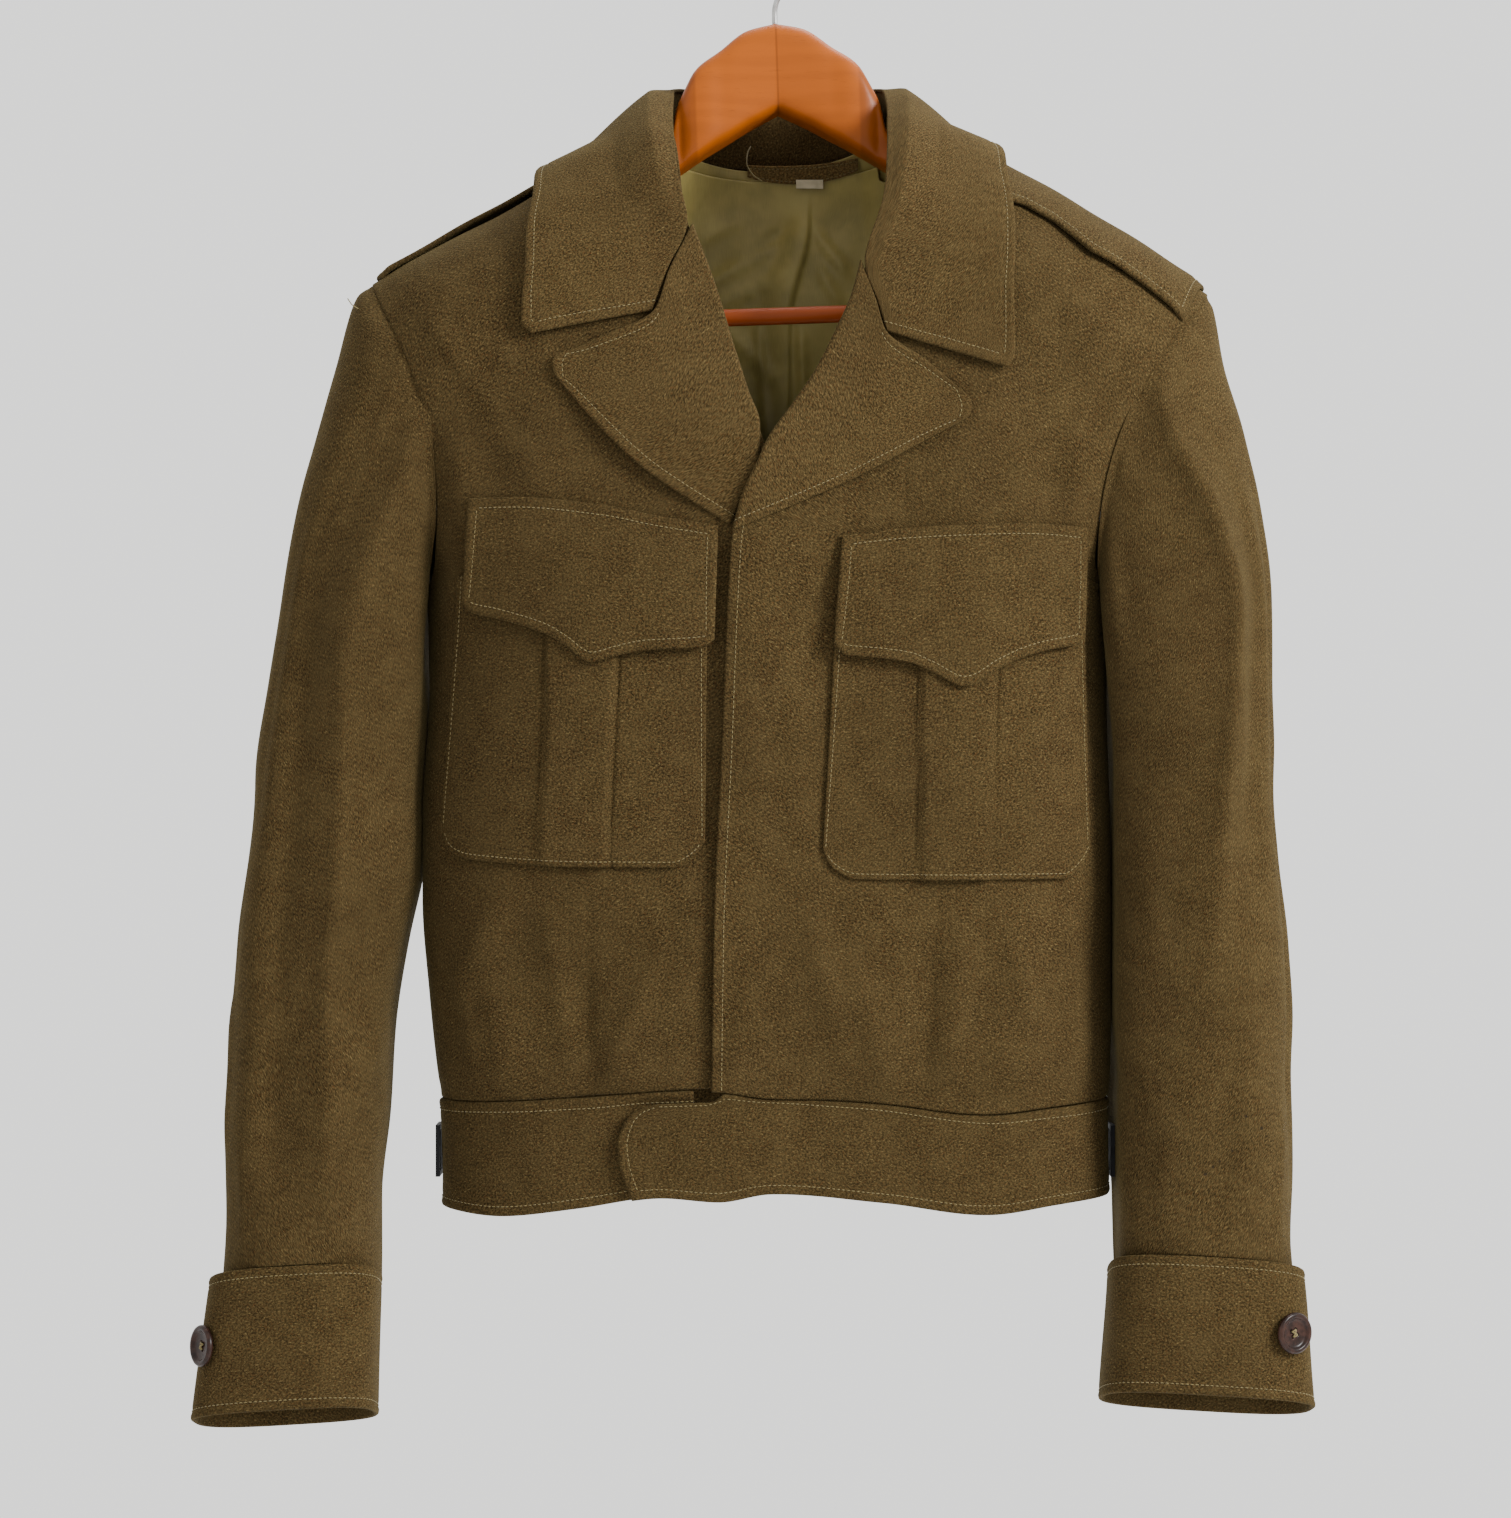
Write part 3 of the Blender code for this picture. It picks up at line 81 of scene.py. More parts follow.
# Driving sizes
SEAM_GAP = 0.4
WAIST_GAP = 0.9
LAY_GAP = 1.2
CLOTH = 2.0
DOUBLE_CLOTH = 2.5
POCKET_CLOTH = 1.8
BAND_CLOTH = 3.0
LINING = 1.0
SHOULDER_ROUND = 80.0
UNDERARM = -396.0
WAIST_SEAM = -684.0
PLEAT_RISE = 1.8
LAP_RISE = 6.0
HANGER_TILT = math.radians(2.0)
BUTTON_WIDTH = 23.5
BUTTON_THICK = 4.0
HOOK_WIRE = 3.2
HOOK_BEND = 21.6
BAR_WIDTH = 10.0
WOOD_SQUARE = 4.6
WOOD_WIDER = 5.0

# Sewing
STITCH_PITCH = 2.8
STITCH_LENGTH = 2.05
STITCH_RADIUS = 0.25
STITCH_LIFT = 0.08
FLY_INSET = 5.6
FLY_TOP = -352
TUCK_DEPTH = 0.5
TUCK_REACH = 4.5
BODY_SWELL = 4.2

# The neck, seen from the front: its middle, half width and the height of its inner back
NECK_MIDDLE = 4.0
NECK_HALF = 62.0
FACING_TOP = -119.0
LINING_TOP = -128.0
TAB_TOP = -136.0
TAB_LOW = -141.5


def table(columns, *rows):
    """Return an array for each named column."""
    values = np.array(rows, dtype=float)
    return {name: values[:, place] for place, name in enumerate(columns.split())}


def smooth(places, values, at):
    """Read a curve through the given values that never overshoots them."""
    order = np.argsort(places)
    places, values = np.asarray(places, float)[order], np.asarray(values, float)[order]
    step = np.diff(places)
    slope = np.diff(values) / step
    tangent = np.zeros_like(values)
    tangent[0], tangent[-1] = slope[0], slope[-1]
    product = slope[:-1] * slope[1:]
    total = np.where(product > 0, slope[:-1] + slope[1:], 1.0)
    tangent[1:-1] = np.where(product > 0, 2 * product / total, 0.0)
    at = np.clip(at, places[0], places[-1])
    cell = np.clip(np.searchsorted(places, at) - 1, 0, len(step) - 1)
    t = (at - places[cell]) / step[cell]
    start = values[cell] * (1 + 2 * t) * (1 - t) ** 2 + values[cell + 1] * t * t * (3 - 2 * t)
    bend = tangent[cell] * t * (1 - t) ** 2 + tangent[cell + 1] * t * t * (t - 1)
    return start + bend * step[cell]


def read(rows, column, at):
    """Read a table's column at places of its first column."""
    first = next(iter(rows))
    return smooth(rows[first], rows[column], np.asarray(at, float))


def ease(value):
    """Go from 0 to 1 without a corner as the value does."""
    value = np.clip(value, 0, 1)
    return value * value * (3 - 2 * value)


# The body: half widths on the viewer's left and right, depths before and behind the
# shoulder line, and how square the section is
BODY = table(
    "height left right front back square",
    (-60, 285, 300, 56, 60, 3.0),
    (-140, 275, 292, 66, 68, 3.0),
    (-220, 258, 275, 76, 72, 3.2),
    (-290, 238, 250, 80, 74, 3.4),
    (-345, 217, 222, 80, 72, 3.4),
    (-396, 200, 196, 78, 70, 3.3),
    (-450, 199, 195, 75, 67, 3.2),
    (-520, 203, 197, 71, 63, 3.1),
    (-570, 203, 198, 69, 61, 3.0),
    (-625, 199, 198, 66, 59, 2.9),
    (-672, 194, 197, 64, 57, 2.8),
    (-684, 192, 196, 61, 55, 2.8),
    (-748, 191, 196, 59, 54, 2.8),
)


# The shoulder line, from the viewer's left tip over the neck to the right tip
RIDGE = table(
    "across height depth",
    (-262, -230, -6),
    (-232, -213, -4),
    (-180, -184, 0),
    (-133, -157.5, 3),
    (-95, -136, 5),
    (-62, -117, 6),
    (0, -92, 6),
    (68, -112, 6),
    (95, -126, 5),
    (128, -143, 3),
    (180, -173, 0),
    (254, -219, -4),
    (280, -236, -6),
)


# The fronts' inner edges: neck, roll line, then the closing edge
EDGE_RIGHT = table(
    "height across",
    (-116, -62),
    (-136, -55),
    (-185, -48),
    (-203, -41),
    (-231, -31),
    (-255, -24),
    (-283, -15),
    (-304, -7),
    (-313, -4),
    (-335, 8),
    (-684, 8),
)

EDGE_LEFT = table(
    "height across",
    (-112, 68),
    (-123, 66.5),
    (-152, 66),
    (-179, 63),
    (-203, 56),
    (-231, 45),
    (-250, 37),
    (-272, 26),
    (-291, 13),
    (-309, 0),
    (-324, -7),
    (-341, -15),
    (-361, -22),
    (-408, -25),
    (-483, -28),
    (-568, -32),
    (-684, -34),
)


# Half widths of the armholes, before and behind, on each side
ARMHOLE = table(
    "height front_left back_left front_right back_right",
    (-396, 200, 200, 196, 196),
    (-376, 193, 197, 184.5, 191),
    (-345, 190.5, 197, 187, 193),
    (-313, 192.5, 201, 194.5, 202),
    (-277, 201, 210, 211, 217),
    (-248, 213.5, 221, 229, 233),
    (-232, 222, 226, 243, 245),
    (-219, 229, 230, 254, 254),
    (-213, 232, 232, 258, 258),
)

TIP = {-1: 232.0, 1: 254.0}
ARMHOLE_STEPS = 46
SIDE_STEPS = 52


# The seam above the waistband and the hem below it
WAIST = table(
    "across seam hem",
    (-195, -686, -748),
    (-160, -684.5, -750),
    (-110, -681, -744),
    (-62, -677, -737),
    (-30, -676, -739),
    (0, -680, -735),
    (60, -684, -740),
    (125, -691, -748),
    (160, -688, -744),
    (198, -685, -741),
)


# Large soft folds of the panels: from one place to another, half width and rise
FOLDS = table(
    "face from_across from_height to_across to_height width rise",
    (-1, -176, -262, -150, -336, 17, -4.0),
    (-1, -186, -300, -178, -410, 14, 4.0),
    (-1, 176, -268, 150, -350, 18, -4.5),
    (-1, 172, -290, 186, -420, 15, 4.0),
    (-1, -20, -566, -104, -664, 20, 3.5),
    (-1, -112, -600, -100, -682, 10, -3.0),
    (-1, -168, -575, -150, -676, 16, 4.0),
    (-1, 12, -590, 60, -672, 20, 3.5),
    (-1, 86, -588, 84, -682, 10, -3.0),
    (-1, 150, -590, 128, -676, 18, 4.0),
    (1, -150, -230, -120, -400, 26, -3.5),
    (1, 150, -235, 118, -410, 26, -3.5),
    (1, -60, -560, -90, -676, 20, 5.0),
    (1, 20, -540, 10, -680, 22, 4.0),
    (1, 96, -555, 120, -678, 20, 5.0),
)


def side_width(side, z):
    """Half width of the body at a height, on one side."""
    return np.where(side < 0, read(BODY, "left", z), read(BODY, "right", z))


def fullness(x, z):
    """1 in the middle of the body, 0 at its side seams and over the shoulder line."""
    spread = 1 - np.abs(x / side_width(x, z)) ** read(BODY, "square", z)
    below = read(RIDGE, "height", x) - z
    return spread * (1 - np.clip(1 - below / SHOULDER_ROUND, 0, None) ** 2)


def body_depth(x, z, face):
    """Y of the front (-1) or back (+1) of the body."""
    depth = read(BODY, "front" if face < 0 else "back", z)
    return read(RIDGE, "depth", x) + face * depth * np.sqrt(np.clip(fullness(x, z), 0, None))


def body_level(point):
    """Negative inside the body, zero on it and positive outside."""
    x, y, z = np.moveaxis(point, -1, 0)
    out = y - read(RIDGE, "depth", x)
    depth = np.where(out < 0, read(BODY, "front", z), read(BODY, "back", z))
    return (out / depth) ** 2 - fullness(x, z)


def body_slope(point):
    """How fast the level grows along X, Y and Z."""
    step = 0.01
    shifts = step * np.eye(3)
    parts = [body_level(point + s) - body_level(point - s) for s in shifts]
    return np.stack(parts, axis=-1) / (2 * step)


def body_normal(point):
    """Unit vector out of the body."""
    slope = body_slope(point)
    return slope / np.linalg.norm(slope, axis=-1, keepdims=True)


def on_body(x, z, face):
    """Points of the body's front or back and the unit vectors out of it."""
    base = np.stack([x, body_depth(x, z, face), z], axis=-1)
    return base, body_normal(base)


def clear_of_body(point, room):
    """Move points out until they stand a given room off the body."""
    for _ in range(6):
        slope = body_slope(point)
        steep = np.linalg.norm(slope, axis=-1)
        off = body_level(point) / steep
        push = np.clip(room - off, 0, 12)
        point = point + slope / steep[..., None] * push[..., None]
    return point


def creased(x, z, face, rows):
    """Sum of listed creases: a ridge or groove between two places, fading at its ends."""
    rise = np.zeros(np.broadcast(x, z).shape)
    for which, x0, z0, x1, z1, width, height in zip(*rows.values()):
        if which != face:
            continue
        run = np.hypot(x1 - x0, z1 - z0)
        along = ((x - x0) * (x1 - x0) + (z - z0) * (z1 - z0)) / run / run
        off = ((x - x0) * (z1 - z0) - (z - z0) * (x1 - x0)) / run
        ends = ease(1.5 - 1.5 * np.abs(2 * along - 1) + 0.3)
        rise += height * ends * np.exp(-(off / width) ** 2)
    return rise


def fold_rise(x, z, face):
    """Sum of the soft folds at a place of the front or back."""
    return creased(x, z, face, FOLDS) * ease((armhole_reach(x, z, face) - np.abs(x)) / 24)


def armhole_reach(x, z, face):
    """How far from the middle the body runs: to the armhole, or to the side below it."""
    high = np.maximum(z, UNDERARM)
    edge = np.where(x < 0, -armhole(-1, face, high), armhole(1, face, high))
    return np.where(z > UNDERARM, edge, side_width(x, z))


def lap(x, z):
    """How far the left front stands off the right one near its closing edge."""
    return LAP_RISE * ease((50 - x) / 70) * ease((-272 - z) / 60)


def grid_normal(grid, closed):
    """Unit normals of a grid, from the steps to its neighbours."""
    if closed:
        across = np.roll(grid, -1, 1) - np.roll(grid, 1, 1)
    else:
        across = np.gradient(grid, axis=1)
    normal = np.cross(across, np.gradient(grid, axis=0))
    return normal / np.linalg.norm(normal, axis=-1, keepdims=True)


def fill(top, bottom, start, end, rows=None, columns=None):
    """Fill four edges with a grid; its rows and columns are even or spaced as given."""
    u = (np.linspace(0, 1, len(top)) if columns is None else columns)[None, :, None]
    v = (np.linspace(0, 1, len(start)) if rows is None else rows)[:, None, None]
    sides = (1 - u) * start[:, None] + u * end[:, None]
    ends = (1 - v) * top[None] + v * bottom[None]
    corners = (1 - u) * ((1 - v) * top[0] + v * bottom[0])
    corners = corners + u * ((1 - v) * top[-1] + v * bottom[-1])
    return sides + ends - corners


def turn_of(x, z):
    """Angle round the body's section, 90 degrees at its side."""
    return np.arcsin(np.clip(x / side_width(x, z), -1, 1))


def across_of(turn, z):
    """X at an angle round the body's section."""
    return side_width(turn, z) * np.sin(turn)


def seam_turn(side):
    """Angle of a side seam's edge, half a gap short of the side."""
    return side * (math.pi / 2 - SEAM_GAP / 2 / 85)


def armhole(side, face, z):
    """X of the armhole's edge at a height."""
    column = ("front_" if face < 0 else "back_") + ("left" if side < 0 else "right")
    return side * read(ARMHOLE, column, z)


def armhole_heights(side):
    """Heights down an armhole, closer together at the tip and the underarm."""
    top = float(read(RIDGE, "height", side * TIP[side]))
    even = np.linspace(0, 1, ARMHOLE_STEPS + 1)
    closer = (1 - np.cos(math.pi * even)) / 2
    return top + (UNDERARM - top) * (0.6 * closer + 0.4 * even)


def panel_rows(side):
    """Rows of a panel from 0 to 1: down the armhole, then down the side seam."""
    z = armhole_heights(side)
    bottom = float(read(WAIST, "seam", side * 195)) + WAIST_GAP / 2
    z = np.concatenate([z, np.linspace(UNDERARM, bottom, SIDE_STEPS + 1)[1:]])
    return (z - z[0]) / (bottom - z[0]), z


def outer_edge(side, face):
    """Angle and height down the armhole and the side seam."""
    z = panel_rows(side)[1]
    turn = turn_of(armhole(side, face, np.maximum(z, UNDERARM)), z)
    turn = np.where(z > UNDERARM, turn, seam_turn(side))
    return np.stack([side * np.minimum(np.abs(turn), abs(seam_turn(side))), z], axis=-1)


def front_grid(side, edge, columns):
    """Angles and heights of one front, from its inner edge to its armhole and side."""
    rows = panel_rows(side)[0]
    rows = (rows + np.linspace(0, 1, len(rows))) / 2
    neck = edge["height"][0]
    seam = float(read(WAIST, "seam", edge["across"][-1])) + WAIST_GAP / 2
    z = neck + (seam - neck) * rows
    start = np.stack([turn_of(read(edge, "across", z), z), z], axis=-1)
    end = outer_edge(side, -1)
    x = np.linspace(edge["across"][0], side * TIP[side], columns)
    height = read(RIDGE, "height", x)
    top = np.stack([turn_of(x, height), height], axis=-1)
    turn = np.linspace(start[-1, 0], end[-1, 0], columns)
    height = read(WAIST, "seam", across_of(turn, WAIST_SEAM)) + WAIST_GAP / 2
    bottom = np.stack([turn, height], axis=-1)
    start[0], end[0] = top[0], top[-1]
    start[-1], end[-1] = bottom[0], bottom[-1]
    return fill(top, bottom, start, end)


def even_heights(z):
    """Heights of a grid's rows, made even from the top row to the bottom one."""
    share = np.linspace(0, 1, len(z))[:, None]
    return z[0] + (z[-1] - z[0]) * share


def closer_at_top(count):
    """Rows from 0 to 1, close together at the top."""
    row = np.linspace(0, 1, count)
    return 1.2 * row * row / (row + 0.2)


# The sleeves' rails: outer and inner edges seen from the front, front and back
SLEEVE = table(
    "height left_out left_in right_out right_in front back",
    (-211, 232, 200, 254, 196, 30, 30),
    (-220, 243, 200, 261, 196, 40, 38),
    (-231, 247, 200, 264, 196, 46, 44),
    (-259, 253, 199, 267, 194, 54, 50),
    (-300, 265, 197, 278, 190, 60, 54),
    (-348, 275, 196, 283, 187, 64, 57),
    (-396, 283, 195, 287, 186, 66, 58),
    (-440, 290, 197, 288, 186, 67, 58),
    (-492, 297, 203, 289, 187, 66, 56),
    (-540, 303, 205, 293, 188, 65, 52),
    (-592, 310, 212, 298, 190, 64, 44),
    (-640, 313, 219, 300, 191, 62, 36),
    (-690, 316, 222, 300, 191, 61, 27),
    (-740, 316, 227, 300, 194, 60, 20),
    (-800, 318, 227, 303, 195, 59, 15),
)

SLEEVE_SQUARE = 2.5


# Creases of the sleeves: share of a turn from the outer edge towards the front,
# heights of their ends, half width as a share of a turn, and rise
CREASES = table(
    "side turn top bottom lean width rise",
    (-1, 0.222, -240, -740, 0.088, 0.026, 3.8),
    (-1, 0.060, -500, -640, 0.01, 0.025, -3.0),
    (-1, 0.400, -560, -660, -0.14, 0.050, -5.0),
    (-1, 0.420, -640, -740, -0.16, 0.050, 4.5),
    (-1, 0.250, -430, -560, 0.10, 0.060, -3.0),
    (-1, 0.750, -450, -620, 0.10, 0.060, -4.0),
    (-1, 0.200, -660, -760, 0.05, 0.040, -3.0),
    (1, 0.150, -250, -620, 0.11, 0.026, 3.8),
    (1, 0.050, -420, -740, 0.00, 0.025, -3.0),
    (1, 0.330, -440, -600, 0.06, 0.060, -4.0),
    (1, 0.250, -600, -740, -0.06, 0.060, 3.5),
    (1, 0.750, -430, -640, -0.10, 0.060, -4.0),
    (1, 0.400, -660, -760, -0.05, 0.050, -3.5),
)


# The cuffs: seam and hem heights with their slopes, and the ring's edges
CUFF = {
    -1: dict(seam=-787.0, hem=-868.0, out=(322, 333), into=(225, 227), front=59, back=16),
    1: dict(seam=-782.0, hem=-860.0, out=(305, 312), into=(194, 189), front=60, back=17),
}

CUFF_LEAN_BACK = -0.33
CUFF_LEAN_OUT = -0.06
CUFF_SQUARE = 2.9


def power(value, exponent):
    """Signed power, for rings between a circle and a box."""
    return np.sign(value) * np.abs(value) ** exponent


def cuff_plane(side, level, x, y):
    """Height of the tilted plane of a cuff's seam or hem."""
    middle_x = side * (sum(CUFF[side]["out"]) + sum(CUFF[side]["into"])) / 4
    middle_y = (CUFF[side]["back"] - CUFF[side]["front"]) / 2
    return level + CUFF_LEAN_BACK * (y - middle_y) + CUFF_LEAN_OUT * side * (x - middle_x)


def in_cuff_plane(side, inward):
    """Lay directions into a cuff's tilted plane."""
    lean = CUFF_LEAN_BACK * inward[..., 1] + CUFF_LEAN_OUT * side * inward[..., 0]
    return np.stack([inward[..., 0], inward[..., 1], lean], axis=-1)


def armhole_ring(side, turn):
    """Points of an armhole's edge: tip, front, underarm, back."""
    z = np.interp(turn, np.linspace(0, 1, 2 * ARMHOLE_STEPS + 1),
                  np.concatenate([armhole_heights(side), armhole_heights(side)[-2::-1]]))
    before = turn <= 0.5
    x = np.where(before, armhole(side, -1, z), armhole(side, 1, z))
    return np.stack([x, np.where(before, body_depth(x, z, -1), body_depth(x, z, 1)), z], axis=-1)


def sleeve_grid(side, turns, count):
    """Rings of a sleeve, from the armhole to the cuff."""
    key = "left" if side < 0 else "right"
    rows = closer_at_top(count)[:, None]
    turn = np.broadcast_to(turns, (count, len(turns)))
    cosine, sine = np.cos(2 * math.pi * turn), np.sin(2 * math.pi * turn)
    top = float(read(RIDGE, "height", side * TIP[side]))
    end = CUFF[side]["seam"]
    out_z = top + (end - top) * rows
    in_z = UNDERARM + (end - UNDERARM) * rows
    z = (out_z + in_z) / 2 + power(cosine, 2 / SLEEVE_SQUARE) * (out_z - in_z) / 2
    room = 1.3 + 2.7 * ease((UNDERARM - in_z) / 45) + 4 * ease((-630 - in_z) / 50)
    inner_mid = np.maximum(read(BODY, key, in_z) + room, read(SLEEVE, key + "_in", in_z))
    outer = read(SLEEVE, key + "_out", out_z)
    half, middle = (outer - inner_mid) / 2, (outer + inner_mid) / 2
    across = middle + half * power(cosine, 2 / SLEEVE_SQUARE)
    wrap = np.where(cosine < 0, 4 * (sine * cosine) ** 2, 0)
    across = across - (inner_mid - read(SLEEVE, key + "_in", in_z)) * wrap
    depth = np.where(sine > 0, -read(SLEEVE, "front", z), read(SLEEVE, "back", z))
    y = depth * np.abs(power(sine, 2 / SLEEVE_SQUARE))
    ring = np.stack([side * across, y, z], axis=-1)
    seam_ring = armhole_ring(side, turns)
    away = armhole_away(side, seam_ring)
    fade = (1 - ease(closer_at_top(count) / 0.28))[:, None, None]
    under = ease(-np.cos(2 * math.pi * turns))[:, None]
    apart = away * (1 - 0.7 * under) + body_normal(seam_ring) * under
    ring = ring + fade * (seam_ring + apart * SEAM_GAP * (1 + 3.6 * under) - ring[0])
    ring = ring + crease_rise(side, turn, z, CREASES, False)[..., None] * side_out(ring)
    off_body = np.minimum(room, 4.0) * ease((0.5 - cosine) / 0.5)
    off_body[0] = 0
    ring[1:] = clear_of_body(ring[1:], off_body[1:] - 8 * (cosine[1:] >= 0.5))
    low = cuff_plane(side, end, ring[..., 0], ring[..., 1]) + SEAM_GAP / 2
    bend = ease((UNDERARM - in_z) / (UNDERARM - end)) * np.ones_like(low)
    ring[..., 2] = ring[..., 2] + bend * (low - end)
    return ring, away


def side_out(ring):
    """Level unit vectors out of each ring's middle."""
    out = ring - ring.mean(axis=1, keepdims=True)
    out[..., 2] = 0
    return out / np.linalg.norm(out, axis=-1, keepdims=True)


def armhole_away(side, ring):
    """Unit vectors along the body's surface, out of the armhole's edge."""
    along = np.roll(ring, -1, 0) - np.roll(ring, 1, 0)
    away = np.cross(body_normal(ring), along) * side
    return away / np.linalg.norm(away, axis=-1, keepdims=True)


def crease_rise(side, turn, z, rows, closed):
    """Sum of a sleeve's creases; side 0 is on both sleeves, and closed ones go on past turn 1."""
    rise = np.zeros(np.broadcast(turn, z).shape)
    for which, at, top, bottom, lean, width, height in zip(*rows.values()):
        if which not in (0, side):
            continue
        along = (top - z) / (top - bottom)
        off = turn - at - lean * along
        if closed:
            off = (off + 0.5) % 1 - 0.5
        ends = ease(1.5 - 1.5 * np.abs(2 * along - 1) + 0.2)
        rise += height * ends * np.exp(-(off / width) ** 2)
    return rise


def cuff_grid(side, turns, heights):
    """Rings of a cuff; heights run from 0 at the seam to 1 at the hem."""
    size = CUFF[side]
    share = heights[:, None]
    cosine, sine = np.cos(2 * math.pi * turns), np.sin(2 * math.pi * turns)
    out = size["out"][0] + (size["out"][1] - size["out"][0]) * share
    into = size["into"][0] + (size["into"][1] - size["into"][0]) * share
    x = side * ((out + into) / 2 + (out - into) / 2 * power(cosine, 2 / CUFF_SQUARE))
    depth = np.where(sine > 0, -size["front"], size["back"])
    middle = (size["back"] - size["front"]) / 2
    y = middle + (depth - middle) * np.abs(power(sine, 2 / CUFF_SQUARE)) + 0 * share
    level = size["seam"] - SEAM_GAP / 2 + (size["hem"] - size["seam"]) * share
    return np.stack([x, y, cuff_plane(side, level, x, y)], axis=-1)


def frame_at(normal):
    """Two unit vectors across a normal, the first one level."""
    level = np.cross([0, 0, 1], normal)
    level /= np.linalg.norm(level)
    return level, np.cross(normal, level)


# Lapel outlines seen from the front: roll line, upper edge with its notch, tip, lower edge
LAPELS = {
    "lapel_right": dict(
        side=-1,
        roll=[(-45.5, -190.5), (-41, -203), (-31.5, -231), (-24.5, -255), (-15.5, -283),
              (-9, -302), (-9.5, -324), (-17.5, -341), (-25.5, -357)],
        upper=[(-45.5, -190.5), (-57.4, -215.5), (-65.8, -238.8), (-92, -252), (-115, -262)],
        tip=[(-115, -262), (-120, -263.2), (-122.6, -267.5), (-121.4, -273.5), (-118.5, -278)],
        low=[(-25.5, -357), (-49, -342.5), (-74.5, -324.5), (-99, -300.5), (-118.5, -278)],
    ),
    "lapel_left": dict(
        side=1,
        roll=[(50.4, -211), (45.5, -231), (37.5, -250), (26.5, -272), (13.5, -291),
              (0.5, -309), (-6.5, -324), (-14.5, -341), (-20, -360.5)],
        upper=[(50.4, -211), (58.4, -233.6), (63.4, -250), (86, -266.5), (104, -282)],
        tip=[(104, -282), (109.6, -286.6), (111.6, -292), (110, -297), (106, -300.3)],
        low=[(-20, -360.5), (6, -350), (45.6, -332.6), (83, -312.5), (106, -300.3)],
    ),
}


def run_at(points, shares):
    """Places along a curve through points at shares of its length."""
    points = np.array(points, float)
    reach = np.concatenate([[0], np.cumsum(np.linalg.norm(np.diff(points, axis=0), axis=1))])
    at = shares * reach[-1]
    return np.stack([smooth(reach, points[:, axis], at) for axis in range(points.shape[1])], axis=-1)


def run_of(points, count):
    """Even places along a curve through points."""
    return run_at(points, np.linspace(0, 1, count))


# The collar from the middle of the back to its front end: fold, outer edge and the
# seam at the neck, for the viewer's left and right
COLLAR_LEFT = table(
    "place fold_x fold_y fold_z edge_x edge_y edge_z seam_x seam_z",
    (0, 4, 62, -94, 4, 88, -152, 4, -133.4),
    (1, -28, 55, -92, -62, 86, -158, -28, -132.4),
    (2, -47, 36, -91, -112, 50, -168, -53, -126),
    (3, -57, 10, -96, -131, 4, -152, -62, -117),
    (4, -57, -20, -114, -133, -40, -176, -60.3, -119.5),
    (5, -55.4, -48, -138, -134.5, -50, -200, -57, -131),
    (6, -52.5, -64, -162, -136, -60, -220, -55, -145),
    (7, -47.5, -73, -188, -138, -60, -236, -50, -180),
    (8, -58, -72, -214, -138.5, -60, -245, -50, -180),
    (9, -66.8, -72, -238.5, -133, -60, -252, -50, -180),
)

COLLAR_RIGHT = table(
    "place fold_x fold_y fold_z edge_x edge_y edge_z seam_x seam_z",
    (0, 4, 62, -94, 4, 88, -152, 4, -133.4),
    (1, 37, 55, -92, 66, 86, -156, 37, -129.4),
    (2, 56, 36, -91, 112, 50, -160, 59, -121.5),
    (3, 65, 10, -96, 129, 4, -138, 68, -112),
    (4, 66.5, -22, -112, 131, -40, -166, 67.7, -114.5),
    (5, 65.8, -48, -134, 132.5, -50, -196, 66.5, -127),
    (6, 63.5, -66, -168, 134, -60, -228, 66, -150),
    (7, 52, -74, -210, 134.5, -60, -252, 58, -195),
    (8, 58.8, -72, -233, 134, -60, -264, 58, -195),
    (9, 64, -72, -250.5, 130.5, -60, -271, 58, -195),
)

STAND_END = 3.9
FOLD_REACH = 7.5


def collar_line(rows, prefix, places):
    """One of the collar's lines, as points."""
    return np.stack([read(rows, prefix + axis, places) for axis in "_x _y _z".split()], axis=-1)


def collar_path(prefix, count):
    """A line of the collar from its right front end round the back to its left one."""
    left = collar_line(COLLAR_LEFT, prefix, np.linspace(9, 0, count))
    right = collar_line(COLLAR_RIGHT, prefix, np.linspace(0, 9, count))
    return np.concatenate([left, right[1:]])


def neck_seam(rows, places):
    """The line where the stand is sewn to the panels, just off their surface."""
    x, z = read(rows, "seam_x", places), read(rows, "seam_z", places)
    face = np.where(places < 3, 1, -1)
    y = np.where(face > 0, body_depth(x, z, 1), body_depth(x, z, -1))
    return clear_of_body(np.stack([x, y, z], axis=-1), 1.05)


def leaf_inward(grid):
    """Directions into the leaf's cloth, towards the body."""
    normal = grid_normal(grid, False)
    away = normal * np.sign(np.sum(normal * body_normal(grid), axis=-1, keepdims=True))
    return -away


